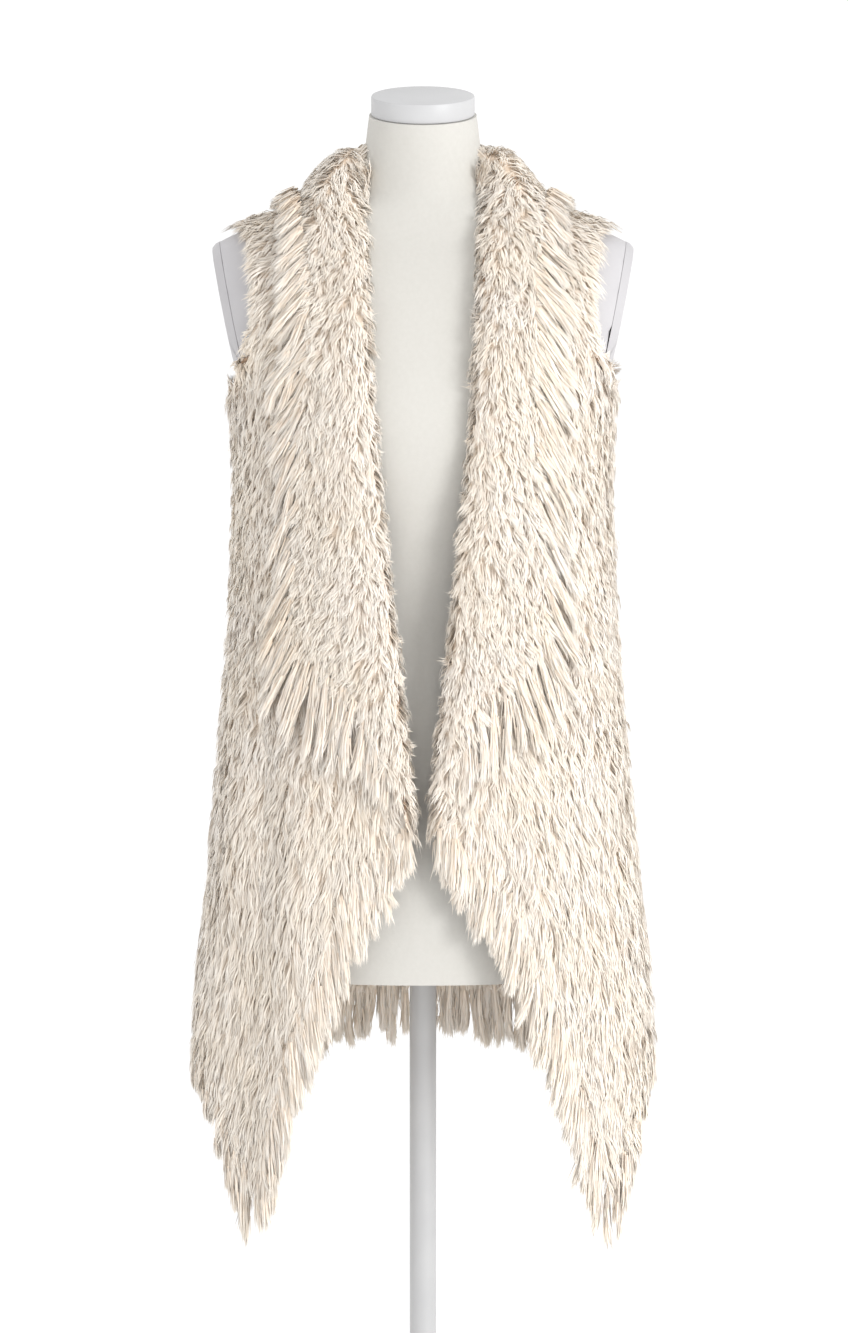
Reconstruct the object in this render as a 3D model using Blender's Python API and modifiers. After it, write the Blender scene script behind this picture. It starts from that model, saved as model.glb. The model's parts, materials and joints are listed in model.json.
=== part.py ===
"""A fur vest with a fringed shawl collar and waterfall fronts, worn by a dress form on a stand.

Metres, +Z up. The vest's front faces -Y and the wearer's left is +X. The origin is the middle of
the stand's underside.

Every wall of the vest lies on one drape surface, which hangs from the dress form's shoulders. A
place on it has an angle, 0 at the side seam, 90 degrees at the centre front and -90 at the centre
back, and a height. The panels, the collar and the fringe are all worked out from that surface.
"""

import math
from bisect import bisect_right
from collections import namedtuple

import bmesh
import bpy
from mathutils import Matrix, Vector

# Driving dimensions
FORM_BOTTOM = 0.747
NECK_TOP = 1.541
NECK_TILT = math.radians(10)
CAP_RADIUS = 0.0475
CAP_HEIGHT = 0.018
CAP_RIM = 0.0015
PLATE_TOP_X = 0.193
PLATE_TOP_Z = 1.412
PLATE_LEAN = math.radians(11)
PLATE_THICKNESS = 0.008
PLATE_RIM = 0.0028
UNDERARM = 1.270  # below it the arm plates' planes leave the torso whole
SHOULDER_SPAN = (1.425, 1.475)  # heights between which the shoulder's ridge line runs
HALVINGS = 40  # of that span, to find a place on the ridge line
POLE_RADIUS = 0.0125
BASE_RADIUS = 0.170
BASE_THICKNESS = 0.008
HUB_RADIUS = 0.026
HUB_HEIGHT = 0.045
BASE_RIM = 0.002
HUB_RIM = 0.003
PILE_WALL = 0.010  # knitted ground and fur pile together
COLLAR_WALL = 0.010
ROLL_WALL = 0.013
SEAM_GAP = 0.00025  # from each piece to the seam line
JOINT_GAP = 0.0003
LIE_GAP = 0.0024  # between a panel's pile and the collar that lies on it
FORM_SIDES = 36
FORM_STEP = 0.05  # form rings farther apart than this get one more between them
PANEL_COLUMNS = 10
BACK_COLUMNS = 20
COLLAR_COLUMNS = 9
COLLAR_SEAM_COLUMN = 2  # the columns before it form the stand and roll
CLEAR_OF_SEAM = 0.14  # share of the way from the seam to the roll that clears the panel's rim
COLLAR_OFF_FORM = 0.001
COLLAR_ARCH = 0.3  # how far the collar arches over its chord round the neck
COLLAR_ROLL_SHARE = 0.3  # of the collar's width, over which its roll rises to lie on the panel
LEFT_LAPEL_WIDTH = 0.9  # of the right lapel's, which is turned back farther
LEFT_FRONT_SWING = 1.1  # the left front's free edge hangs this much farther from the centre line

FormRing = namedtuple("FormRing", "z half_width front back middle tilt_deg blunt")
FORM_RINGS = (
    FormRing(FORM_BOTTOM, 0.165, 0.104, 0.110, 0.000, 0, 2.3),
    FormRing(0.800, 0.168, 0.107, 0.115, 0.000, 0, 2.3),
    FormRing(0.870, 0.167, 0.108, 0.117, 0.000, 0, 2.3),
    FormRing(0.935, 0.157, 0.104, 0.114, 0.000, 0, 2.3),
    FormRing(1.005, 0.138, 0.096, 0.100, 0.000, 0, 2.3),
    FormRing(1.075, 0.120, 0.088, 0.086, 0.000, 0, 2.3),
    FormRing(1.150, 0.129, 0.099, 0.090, 0.000, 0, 2.3),
    FormRing(1.225, 0.146, 0.119, 0.098, 0.000, 0, 2.3),
    FormRing(1.277, 0.155, 0.126, 0.102, 0.000, 0, 2.3),
    FormRing(1.300, 0.164, 0.123, 0.104, 0.000, 0, 2.3),
    FormRing(1.320, 0.180, 0.118, 0.105, 0.000, 0, 2.3),
    FormRing(1.350, 0.196, 0.109, 0.104, 0.000, 0, 2.3),
    FormRing(1.380, 0.205, 0.098, 0.100, 0.000, 0, 2.3),
    FormRing(1.408, 0.203, 0.084, 0.092, 0.000, 0, 2.2),
    FormRing(1.423, 0.191, 0.076, 0.087, 0.000, 0, 2.1),
    FormRing(1.432, 0.174, 0.071, 0.083, 0.000, 0, 2.0),
    FormRing(1.444, 0.140, 0.066, 0.077, -0.001, 0, 2.0),
    FormRing(1.456, 0.100, 0.062, 0.069, -0.002, 0, 2.0),
    FormRing(1.463, 0.078, 0.060, 0.064, -0.003, 0, 2.0),
    FormRing(1.468, 0.067, 0.058, 0.061, -0.004, 0, 2.0),
    FormRing(1.475, 0.061, 0.056, 0.058, -0.006, 0, 2.0),
    FormRing(1.486, 0.057, 0.054, 0.055, -0.009, 1, 2.0),
    FormRing(1.503, 0.054, 0.052, 0.053, -0.014, 4, 2.0),
    FormRing(1.522, 0.052, 0.051, 0.051, -0.019, 7, 2.0),
    FormRing(NECK_TOP, 0.0495, 0.0495, 0.0495, -0.023, 10, 2.0),
)

# How far the vest's inside hangs from the form
Ease = namedtuple("Ease", "z side front back")
EASES = (
    Ease(0.480, 0.046, 0.034, 0.022),
    Ease(0.640, 0.041, 0.030, 0.020),
    Ease(0.733, 0.038, 0.026, 0.017),
    Ease(0.800, 0.028, 0.020, 0.010),
    Ease(0.870, 0.022, 0.017, 0.007),
    Ease(0.935, 0.026, 0.019, 0.007),
    Ease(1.005, 0.039, 0.026, 0.012),
    Ease(1.075, 0.051, 0.033, 0.019),
    Ease(1.150, 0.039, 0.024, 0.014),
    Ease(1.225, 0.022, 0.010, 0.009),
    Ease(1.277, 0.016, 0.006, 0.007),
    Ease(1.300, 0.014, 0.007, 0.008),
    Ease(1.320, 0.009, 0.008, 0.008),
    Ease(1.400, 0.008, 0.007, 0.007),
    Ease(1.432, 0.007, 0.006, 0.006),
    Ease(1.468, 0.005, 0.004, 0.004),
    Ease(1.541, 0.005, 0.004, 0.004),
)

# The largest folds, as ridges and troughs that deepen towards the hem
Fold = namedtuple("Fold", "angle_deg spread_deg height top")
FOLD_REACH = 0.55  # metres over which a fold grows to its full height
FOLDS = (
    Fold(64, 12, 0.007, 0.98),
    Fold(40, 11, -0.008, 1.08),
    Fold(17, 11, 0.007, 1.12),
    Fold(-14, 11, -0.005, 1.05),
    Fold(-40, 12, 0.008, 1.10),
    Fold(-66, 12, -0.006, 1.05),
    Fold(-90, 12, 0.007, 1.08),
)

# Front panel, shoulder seam to underarm: how far a row lies below the shoulder's ridge line
ShoulderRow = namedtuple("ShoulderRow", "drop side_x edge_x")
SHOULDER_ROWS = (
    ShoulderRow(0.000, 0.162, 0.071),
    ShoulderRow(0.004, 0.158, 0.068),
    ShoulderRow(0.012, 0.154, 0.065),
    ShoulderRow(0.028, 0.151, 0.062),
    ShoulderRow(0.050, 0.149, 0.060),
    ShoulderRow(0.076, 0.150, 0.058),
    ShoulderRow(0.098, 0.153, 0.056),
    ShoulderRow(0.114, 0.158, 0.055),
    ShoulderRow(0.127, 0.167, 0.054),
)
# Front panel, underarm to hem, with the roll line and then the free front edge
BodyRow = namedtuple("BodyRow", "side_z edge_x edge_z")
BODY_ROWS = (
    BodyRow(1.292, 0.052, 1.312),
    BodyRow(1.262, 0.050, 1.278),
    BodyRow(1.225, 0.046, 1.235),
    BodyRow(1.175, 0.041, 1.180),
    BodyRow(1.120, 0.035, 1.120),
    BodyRow(1.060, 0.028, 1.058),
    BodyRow(1.000, 0.021, 0.995),
    BodyRow(0.945, 0.015, 0.938),
    BodyRow(0.900, 0.013, 0.895),
    BodyRow(0.862, 0.046, 0.872),
    BodyRow(0.822, 0.071, 0.838),
    BodyRow(0.796, 0.085, 0.797),
    BodyRow(0.772, 0.099, 0.752),
    BodyRow(0.748, 0.114, 0.707),
    BodyRow(0.725, 0.128, 0.662),
    BodyRow(0.703, 0.142, 0.616),
    BodyRow(0.682, 0.154, 0.570),
)
ROLL_END_ROW = len(SHOULDER_ROWS) + 8  # where the roll line ends and the free edge starts

# Back panel: the neck column starts at the neck point, and the centre column at the back neck
BackRow = namedtuple("BackRow", "drop side_x neck_x centre_z")
BACK_SHOULDER_ROWS = (
    BackRow(0.000, 0.162, 0.071, 1.470),
    BackRow(0.004, 0.158, 0.070, 1.464),
    BackRow(0.012, 0.155, 0.070, 1.453),
    BackRow(0.028, 0.153, 0.072, 1.434),
    BackRow(0.050, 0.152, 0.075, 1.410),
    BackRow(0.076, 0.153, 0.079, 1.384),
    BackRow(0.098, 0.155, 0.083, 1.362),
    BackRow(0.114, 0.159, 0.087, 1.344),
    BackRow(0.127, 0.167, 0.091, 1.328),
)
BackBodyRow = namedtuple("BackBodyRow", "side_z neck_angle_deg centre_z")
BACK_BODY_ROWS = (
    BackBodyRow(1.292, 50, 1.304),
    BackBodyRow(1.262, 48, 1.270),
    BackBodyRow(1.225, 47, 1.230),
    BackBodyRow(1.175, 46, 1.178),
    BackBodyRow(1.120, 45, 1.122),
    BackBodyRow(1.060, 45, 1.062),
    BackBodyRow(1.000, 45, 1.002),
    BackBodyRow(0.945, 45, 0.948),
    BackBodyRow(0.900, 45, 0.905),
    BackBodyRow(0.856, 45, 0.864),
    BackBodyRow(0.812, 45, 0.824),
    BackBodyRow(0.768, 45, 0.786),
    BackBodyRow(0.724, 45, 0.750),
    BackBodyRow(0.682, 45, 0.716),
)

# Shawl collar from the centre back to the lapel's tip: its seam or roll line, the top of its
# roll, and its fringed edge. facing is -1 on the back, 1 on the front and 0 on the shoulder's ridge
# line. bridge is 1 where the collar spans the hollow between neck and shoulder.
Station = namedtuple("Station", "facing seam_x seam_z roll_x roll_z edge_x edge_z bridge lean_deg lock")
COLLAR_STATIONS = (
    Station(-1, 0.000, 1.4715, 0.000, 1.516, 0.000, 1.408, 1.0, 0, 0.044),
    Station(-1, 0.024, 1.4715, 0.021, 1.516, 0.038, 1.409, 1.0, 3, 0.044),
    Station(-1, 0.044, 1.4710, 0.038, 1.516, 0.070, 1.413, 1.0, 8, 0.045),
    Station(-1, 0.058, 1.4700, 0.049, 1.515, 0.091, 1.422, 1.0, 16, 0.045),
    Station(-1, 0.065, 1.4695, 0.055, 1.514, 0.101, 1.437, 1.0, 24, 0.044),
    Station(-1, 0.067, 1.4690, 0.057, 1.5135, 0.1035, 1.4490, 1.0, 20, 0.044),
    Station(0, 0.0685, 1.4685, 0.0575, 1.513, 0.1040, 1.4560, 1.0, 0, 0.044),
    Station(1, 0.0675, 1.4680, 0.0570, 1.512, 0.1035, 1.4515, 1.0, 33, 0.044),
    Station(1, 0.0650, 1.4650, 0.0560, 1.508, 0.1025, 1.4420, 1.0, 40, 0.045),
    Station(1, 0.0620, 1.4560, 0.0535, 1.497, 0.1005, 1.4240, 0.9, 43, 0.047),
    Station(1, 0.0600, 1.4400, 0.0510, 1.472, 0.0985, 1.4005, 0.7, 40, 0.051),
    Station(1, 0.0580, 1.4180, 0.0490, 1.440, 0.0975, 1.3720, 0.4, 37, 0.056),
    Station(1, 0.0565, 1.3900, 0.0475, 1.402, 0.0978, 1.3375, 0.2, 34, 0.061),
    Station(1, 0.0558, 1.3740, 0.0468, 1.383, 0.0982, 1.3185, 0.1, 32, 0.064),
    Station(1, 0.0550, 1.3580, 0.0460, 1.364, 0.0988, 1.2995, 0.0, 30, 0.066),
    Station(1, 0.0540, 1.3410, 0.0450, 1.345, 0.0995, 1.2790, 0.0, 29, 0.068),
    Station(1, 0.0530, 1.3250, 0.0440, 1.326, 0.1003, 1.2590, 0.0, 28, 0.070),
    Station(1, 0.0500, 1.2820, 0.0410, 1.282, 0.1022, 1.2160, 0.0, 27, 0.072),
    Station(1, 0.0460, 1.2350, 0.0370, 1.235, 0.1050, 1.1740, 0.0, 26, 0.072),
    Station(1, 0.0410, 1.1800, 0.0320, 1.180, 0.1075, 1.1320, 0.0, 26, 0.070),
    Station(1, 0.0355, 1.1250, 0.0265, 1.125, 0.1105, 1.0980, 0.0, 27, 0.069),
    Station(1, 0.0330, 1.1020, 0.0240, 1.102, 0.1115, 1.0810, 0.0, 27, 0.070),
    Station(1, 0.0308, 1.0830, 0.0218, 1.082, 0.1085, 1.0665, 0.0, 25, 0.073),
    Station(1, 0.0285, 1.0630, 0.0195, 1.061, 0.1010, 1.0545, 0.0, 19, 0.078),
    Station(1, 0.0255, 1.0350, 0.0165, 1.033, 0.0875, 1.0420, 0.0, 12, 0.083),
    Station(1, 0.0220, 1.0040, 0.0130, 1.001, 0.0700, 1.0240, 0.0, 6, 0.087),
    Station(1, 0.0180, 0.9660, 0.0090, 0.962, 0.0510, 0.9990, 0.0, 2, 0.090),
    Station(1, 0.0150, 0.9340, 0.0060, 0.928, 0.0360, 0.9690, 0.0, 0, 0.090),
    Station(1, 0.0135, 0.9050, 0.0040, 0.896, 0.0270, 0.9380, 0.0, -1, 0.088),
)

# Fringe: how many locks an edge carries, and their size at the root and the tip
PATH_STEP = 0.012
SLANT_GAP = 0.0022  # along slanting locks, so less across the edge
FRONT_HEM_GAP = 0.0016
BACK_HEM_GAP = 0.0006
STRIP_WIDTH = 0.006
STRIP_TRIM = 0.001  # a strip is this much thinner than its wall on each face
LOCK_SHARE = 0.74  # of a lock's pitch, the rest is the slit beside it
LOCK_MIDDLE_TAPER = 0.92
LOCK_MIDDLE_THICKNESS = 0.9  # of the strip's
LOCK_TIP_TAPER = 0.3
LOCK_TIP_THICKNESS = 0.0024
LOCK_UNEVEN = 0.13
LOCK_BEAT = 2.4  # radians from lock to lock in the wave that makes their lengths uneven
LOCK_START = 0.7  # where the first lock stands in that wave
COLLAR_LOCKS = 46
COLLAR_FRINGE_ENDS = (0.004, 0.996)  # shares of the edge between which the strip runs
FRONT_LOCKS = 28
FRONT_FRINGE_ENDS = (0.01, 0.985)
FRONT_HEM_LOCKS = 12
FRONT_HEM_ENDS = (0.0, 0.95)
BACK_HEM_LOCKS = 36
BACK_HEM_ENDS = (0.0, 1.0)
FRONT_EDGE_LEAN = math.radians(7)
FRONT_EDGE_LOCK = 0.066
SIDE_HEM_LOCK = 0.034
CORNER_HEM_LOCK = 0.064
BACK_HEM_LOCK = 0.055
HEM_STEP = (0.40, 0.90)  # shares of a front's hem between which it falls from the side to its tail
HEM_SLOPE = 0.1  # share of the fall that is spread over the whole hem

FUR = ("fur_cream", (0.84, 0.78, 0.70), 0.95, 0.0)
LINEN = ("form_linen", (0.86, 0.84, 0.81), 0.9, 0.0)
ENAMEL = ("form_enamel", (0.88, 0.88, 0.88), 0.4, 0.0)
STEEL = ("stand_steel", (0.80, 0.80, 0.80), 0.35, 0.6)


def clear_scene():
    for thing in list(bpy.data.objects):
        bpy.data.objects.remove(thing)


def material(name, colour, roughness, metallic):
    found = bpy.data.materials.get(name)
    if found is None:
        found = bpy.data.materials.new(name)
        found.use_nodes = True
        shader = found.node_tree.nodes["Principled BSDF"]
        shader.inputs["Base Color"].default_value = (*colour, 1)
        shader.inputs["Roughness"].default_value = roughness
        shader.inputs["Metallic"].default_value = metallic
    return found


def place_in(collection, thing, finish):
    collection.objects.link(thing)
    thing.data.materials.append(material(*finish))
    return thing


def mesh_object(name, bm, collection, finish):
    bmesh.ops.recalc_face_normals(bm, faces=bm.faces[:])
    if bm.calc_volume(signed=True) < 0:
        bmesh.ops.reverse_faces(bm, faces=bm.faces[:])
    mesh = bpy.data.meshes.new(name)
    bm.to_mesh(mesh)
    bm.free()
    mesh.shade_smooth()
    mesh.set_sharp_from_angle(angle=math.radians(40))
    return place_in(collection, bpy.data.objects.new(name, mesh), finish)


def smooth_column(rows, column):
    """A table's column as a function of height, on a smooth curve that never overshoots its rows."""
    heights = [row.z for row in rows]
    values = [getattr(row, column) for row in rows]
    steps = [high - low for low, high in zip(heights, heights[1:])]
    slopes = [(b - a) / step for a, b, step in zip(values, values[1:], steps)]
    tangent = [slopes[0]]
    for before, after in zip(slopes, slopes[1:]):
        tangent.append(0.0 if before * after <= 0 else 2 * before * after / (before + after))
    tangent.append(slopes[-1])

    def value_at(z):
        z = min(max(z, heights[0]), heights[-1])
        i = min(bisect_right(heights, z) - 1, len(steps) - 1)
        t = (z - heights[i]) / steps[i]
        return (
            values[i] * (1 + 2 * t) * (1 - t) ** 2
            + tangent[i] * steps[i] * t * (1 - t) ** 2
            + values[i + 1] * t * t * (3 - 2 * t)
            + tangent[i + 1] * steps[i] * t * t * (t - 1)
        )

    return value_at


FORM = {column: smooth_column(FORM_RINGS, column) for column in FormRing._fields[1:]}
EASE = {column: smooth_column(EASES, column) for column in Ease._fields[1:]}


def ring_point(angle, half_width, front, back, middle, blunt):
    """A place on a blunt ellipse, with its own depth before and behind its widest line."""
    across = math.copysign(abs(math.cos(angle)) ** (2 / blunt), math.cos(angle))
    outward = math.copysign(abs(math.sin(angle)) ** (2 / blunt), math.sin(angle))
    return half_width * across, middle - outward * (front if outward > 0 else back)


def form_point(angle, z):
    columns = ("half_width", "front", "back", "middle", "blunt")
    size = {column: FORM[column](z) for column in columns}
    x, y = ring_point(angle, **size)
    tilt = math.radians(FORM["tilt_deg"](z))
    return Vector((x, y, z + (y - size["middle"]) * math.tan(tilt)))


def fold_height(angle, z):
    total = 0.0
    for fold in FOLDS:
        grown = min(max((fold.top - z) / FOLD_REACH, 0), 1)
        away = (math.degrees(angle) - fold.angle_deg) / fold.spread_deg
        total += fold.height * grown * math.exp(-away * away)
    return total


def half_width(z):
    return FORM["half_width"](z) + EASE["side"](z)


def drape(angle, z):
    """A place on the vest's inside, on the wearer's left."""
    fold = fold_height(angle, z)
    x, y = ring_point(
        angle,
        half_width(z) + fold,
        FORM["front"](z) + EASE["front"](z) + fold,
        FORM["back"](z) + EASE["back"](z) + fold,
        FORM["middle"](z),
        FORM["blunt"](z),
    )
    return Vector((x, y, z))


def tangents(angle, z):
    """How the drape moves with its angle, and with its height."""
    turn, rise = 0.01, 0.001
    by_angle = (drape(angle + turn, z) - drape(angle - turn, z)) / (2 * turn)
    by_height = (drape(angle, z + rise) - drape(angle, z - rise)) / (2 * rise)
    return by_angle, by_height


def off_drape(angle, z, outward):
    by_angle, by_height = tangents(angle, z)
    return drape(angle, z) + by_height.cross(by_angle).normalized() * outward


def angle_at(x, z, facing=1):
    """The drape's angle at a distance from the centre line, on the front or the back."""
    share = min(max(x / half_width(z), 0.0), 1.0)
    return facing * math.acos(share ** (FORM["blunt"](z) / 2))


def ridge_height(x):
    """Where the shoulder's ridge line is this far from the centre."""
    low, high = SHOULDER_SPAN
    for _ in range(HALVINGS):
        middle = (low + high) / 2
        if half_width(middle) > x:
            low = middle
        else:
            high = middle
    return low


def seam_angle(z, facing):
    """The small angle that keeps a panel clear of the side seam."""
    depth = FORM["front" if facing > 0 else "back"](z)
    return facing * math.asin((SEAM_GAP / depth) ** (FORM["blunt"](z) / 2))


def off_seam(angle, z, facing):
    clear = seam_angle(z, facing)
    return max(angle, clear) if facing > 0 else min(angle, clear)


def mixed(first, second, share):
    return tuple(a + (b - a) * share for a, b in zip(first, second))


def front_rows(side):
    """For each row of a front panel, its side end and its front end as (angle, height)."""
    swing = LEFT_FRONT_SWING if side > 0 else 1.0
    rows = []
    for row in SHOULDER_ROWS:
        side_z = ridge_height(row.side_x) - row.drop
        edge_z = ridge_height(row.edge_x) - row.drop
        seam = off_seam(angle_at(row.side_x, side_z), side_z, 1)
        edge = off_seam(angle_at(row.edge_x, edge_z), edge_z, 1)
        rows.append(((seam, side_z), (edge, edge_z)))
    for row in BODY_ROWS:
        edge_x = row.edge_x * (swing if len(rows) > ROLL_END_ROW else 1)
        seam = (seam_angle(row.side_z, 1), row.side_z)
        rows.append((seam, (angle_at(edge_x, row.edge_z), row.edge_z)))
    return rows


def hem_fall(share):
    """How much of its fall a front's hem has made: a smooth step from the side to the tail."""
    start, end = HEM_STEP
    t = min(max((share - start) / (end - start), 0), 1)
    return HEM_SLOPE * share + (1 - HEM_SLOPE) * t * t * (3 - 2 * t)


def front_place(rows, row, share):
    """A place on a front panel. Below the roll's end its rows take on the shape of the hem."""
    side_end, edge_end = rows[row]
    stepped = max(row - ROLL_END_ROW, 0) / (len(rows) - 1 - ROLL_END_ROW)
    angle, _ = mixed(side_end, edge_end, share)
    fall = share + (hem_fall(share) - share) * stepped
    return angle, side_end[1] + (edge_end[1] - side_end[1]) * fall


def back_rows():
    """For each row of the back's left half: its side end, neck column and centre back."""
    rows = []
    for row in BACK_SHOULDER_ROWS:
        side_z = ridge_height(row.side_x) - row.drop
        neck_z = ridge_height(row.neck_x) - row.drop
        side = off_seam(angle_at(row.side_x, side_z, -1), side_z, -1)
        neck = off_seam(angle_at(row.neck_x, neck_z, -1), neck_z, -1)
        rows.append(((side, side_z), (neck, neck_z), (-math.pi / 2, row.centre_z)))
    for row in BACK_BODY_ROWS:
        side = (seam_angle(row.side_z, -1), row.side_z)
        neck = (math.radians(-row.neck_angle_deg), (row.side_z + row.centre_z) / 2)
        rows.append((side, neck, (-math.pi / 2, row.centre_z)))
    return rows


def mirrored(point, side):
    return Vector((point.x * side, point.y, point.z))


def wall(name, rows, columns, place, collection, finish=FUR, kept=None):
    """A wall of two layers from a flat grid. place(row, column, layer) gives each point."""
    bm = bmesh.new()
    bmesh.ops.create_grid(bm, x_segments=columns - 1, y_segments=rows - 1, size=0.5)
    spot = {}
    for vert in bm.verts:
        column = round((vert.co.x + 0.5) * (columns - 1))
        spot[vert] = (round((vert.co.y + 0.5) * (rows - 1)), column)
    if kept:
        cut = []
        for face in bm.faces:
            row = min(spot[vert][0] for vert in face.verts)
            column = min(spot[vert][1] for vert in face.verts)
            if not kept(row, column):
                cut.append(face)
        bmesh.ops.delete(bm, geom=cut, context="FACES")
    flat = {tuple(vert.co): spot[vert] for vert in bm.verts}
    raised = bmesh.ops.extrude_face_region(bm, geom=bm.faces[:])["geom"]
    outer = {g for g in raised if isinstance(g, bmesh.types.BMVert)}
    for vert in bm.verts:
        row, column = flat[tuple(vert.co)]
        vert.co = place(row, column, vert in outer)
    return mesh_object(name, bm, collection, finish)


def ring_solid(bm, heights, place):
    """Rings of points joined from the first height to the last, with both ends closed."""
    rings = []
    for z in heights:
        angles = [2 * math.pi * k / FORM_SIDES for k in range(FORM_SIDES)]
        rings.append([bm.verts.new(place(angle, z)) for angle in angles])
    for low, high in zip(rings, rings[1:]):
        for k in range(FORM_SIDES):
            after = (k + 1) % FORM_SIDES
            bm.faces.new((low[k], low[after], high[after], high[k]))
    bm.faces.new(rings[0])
    bm.faces.new(rings[-1])
    bmesh.ops.recalc_face_normals(bm, faces=bm.faces[:])


def form_heights():
    """The table's own heights, with one more between rows that are far apart."""
    heights = []
    for low, high in zip(FORM_RINGS, FORM_RINGS[1:]):
        heights.append(low.z)
        if high.z - low.z > FORM_STEP:
            heights.append((low.z + high.z) / 2)
    return heights + [NECK_TOP]


def cut_by(bm, point, normal, lowest):
    """Cuts off what lies on the normal's side of a plane, above a height, and closes the cut."""
    faces = [face for face in bm.faces if min(vert.co.z for vert in face.verts) >= lowest]
    edges = {edge for face in faces for edge in face.edges}
    verts = {vert for face in faces for vert in face.verts}
    cut = [*verts, *edges, *faces]
    bmesh.ops.bisect_plane(bm, geom=cut, plane_co=point, plane_no=normal, clear_outer=True)
    bmesh.ops.holes_fill(bm, edges=[edge for edge in bm.edges if edge.is_boundary], sides=0)


def plate_plane(side, inset):
    """A point on an arm plate's plane, set in from its outer face, and the plane's outward normal."""
    normal = Vector((side * math.cos(PLATE_LEAN), 0, -math.sin(PLATE_LEAN)))
    return Vector((side * PLATE_TOP_X, 0, PLATE_TOP_Z)) - normal * inset, normal


def make_torso(collection):
    bm = bmesh.new()
    ring_solid(bm, form_heights(), form_point)
    for side in (1, -1):
        cut_by(bm, *plate_plane(side, PLATE_THICKNESS + JOINT_GAP), UNDERARM)
    mesh_object("form_torso", bm, collection, LINEN)


def make_arm_plate(name, side, collection):
    bm = bmesh.new()
    ring_solid(bm, [z for z in form_heights() if z >= UNDERARM], form_point)
    cut_by(bm, *plate_plane(side, 0), UNDERARM)
    inner_point, normal = plate_plane(side, PLATE_THICKNESS)
    cut_by(bm, inner_point, -normal, UNDERARM)
    plate = mesh_object(name, bm, collection, ENAMEL)
    rounding = plate.modifiers.new("rim", "BEVEL")
    rounding.width = PLATE_RIM
    rounding.segments = 2
    rounding.limit_method = "ANGLE"
    rounding.angle_limit = math.radians(50)


def turned(name, radius, height, centre, collection, finish, rim=0.0, tilt=0.0):
    bm = bmesh.new()
    bmesh.ops.create_cone(
        bm, cap_ends=True, segments=FORM_SIDES, radius1=radius, radius2=radius, depth=height
    )
    disc = mesh_object(name, bm, collection, finish)
    disc.location = centre
    disc.rotation_euler = (tilt, 0, 0)
    if rim:
        rounding = disc.modifiers.new("rim", "BEVEL")
        rounding.width = rim
        rounding.segments = 2
        rounding.limit_method = "ANGLE"


def make_neck_cap(collection):
    neck = FORM_RINGS[-1]
    up = Matrix.Rotation(NECK_TILT, 3, "X") @ Vector((0, 0, 1))
    centre = Vector((0, neck.middle, NECK_TOP)) + up * (CAP_HEIGHT / 2 + JOINT_GAP)
    turned("form_neck_cap", CAP_RADIUS, CAP_HEIGHT, centre, collection, ENAMEL, CAP_RIM, NECK_TILT)


def make_stand(collection):
    base_middle = Vector((0, 0, BASE_THICKNESS / 2))
    turned("stand_base", BASE_RADIUS, BASE_THICKNESS, base_middle, collection, STEEL, BASE_RIM)
    hub_bottom = BASE_THICKNESS + JOINT_GAP
    hub_middle = Vector((0, 0, hub_bottom + HUB_HEIGHT / 2))
    turned("stand_hub", HUB_RADIUS, HUB_HEIGHT, hub_middle, collection, STEEL, HUB_RIM)
    pole_bottom = hub_bottom + HUB_HEIGHT + JOINT_GAP
    pole_top = FORM_BOTTOM - JOINT_GAP
    pole_middle = Vector((0, 0, (pole_bottom + pole_top) / 2))
    turned("stand_pole", POLE_RADIUS, pole_top - pole_bottom, pole_middle, collection, STEEL)


def make_front(name, side, collection):
    rows = front_rows(side)

    def place(row, column, outer):
        angle, z = front_place(rows, row, column / PANEL_COLUMNS)
        return mirrored(off_drape(angle, z, PILE_WALL if outer else 0), side)

    wall(name, len(rows), PANEL_COLUMNS + 1, place, collection)


def make_back(collection):
    rows = back_rows()

    def place(row, column, outer):
        share = 1 - abs(2 * column / BACK_COLUMNS - 1)
        side_end, neck, centre = rows[row]
        if share < 0.5:
            angle, z = mixed(side_end, neck, share * 2)
        else:
            angle, z = mixed(neck, centre, share * 2 - 1)
        side = 1 if column <= BACK_COLUMNS / 2 else -1
        return mirrored(off_drape(angle, z, PILE_WALL if outer else 0), side)

    wall("vest_back", len(rows), BACK_COLUMNS + 1, place, collection)


def collar_path(station, start, end, share):
    """A place between two of a station's points: seam, roll and edge, as (angle, height)."""
    first = (getattr(station, start + "_x"), getattr(station, start + "_z"))
    last = (getattr(station, end + "_x"), getattr(station, end + "_z"))
    if station.bridge < 1:
        x, z = mixed(first, last, share)
        return angle_at(x, z, station.facing), z
    # Round the neck the path keeps to the hollow between neck and shoulder, so its angle is mixed.
    first = (angle_at(*first, station.facing), first[1])
    last = (angle_at(*last, station.facing), last[1])
    return mixed(first, last, share)


def collar_stations(side):
    """The collar's stations on one side of the wearer."""
    if side < 0:
        return COLLAR_STATIONS
    stations = []
    for station in COLLAR_STATIONS:
        share = 1 - (1 - LEFT_LAPEL_WIDTH) * (1 - station.bridge)
        width = (station.edge_x - station.seam_x) * share
        stations.append(station._replace(edge_x=station.seam_x + width))
    return stations


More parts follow.
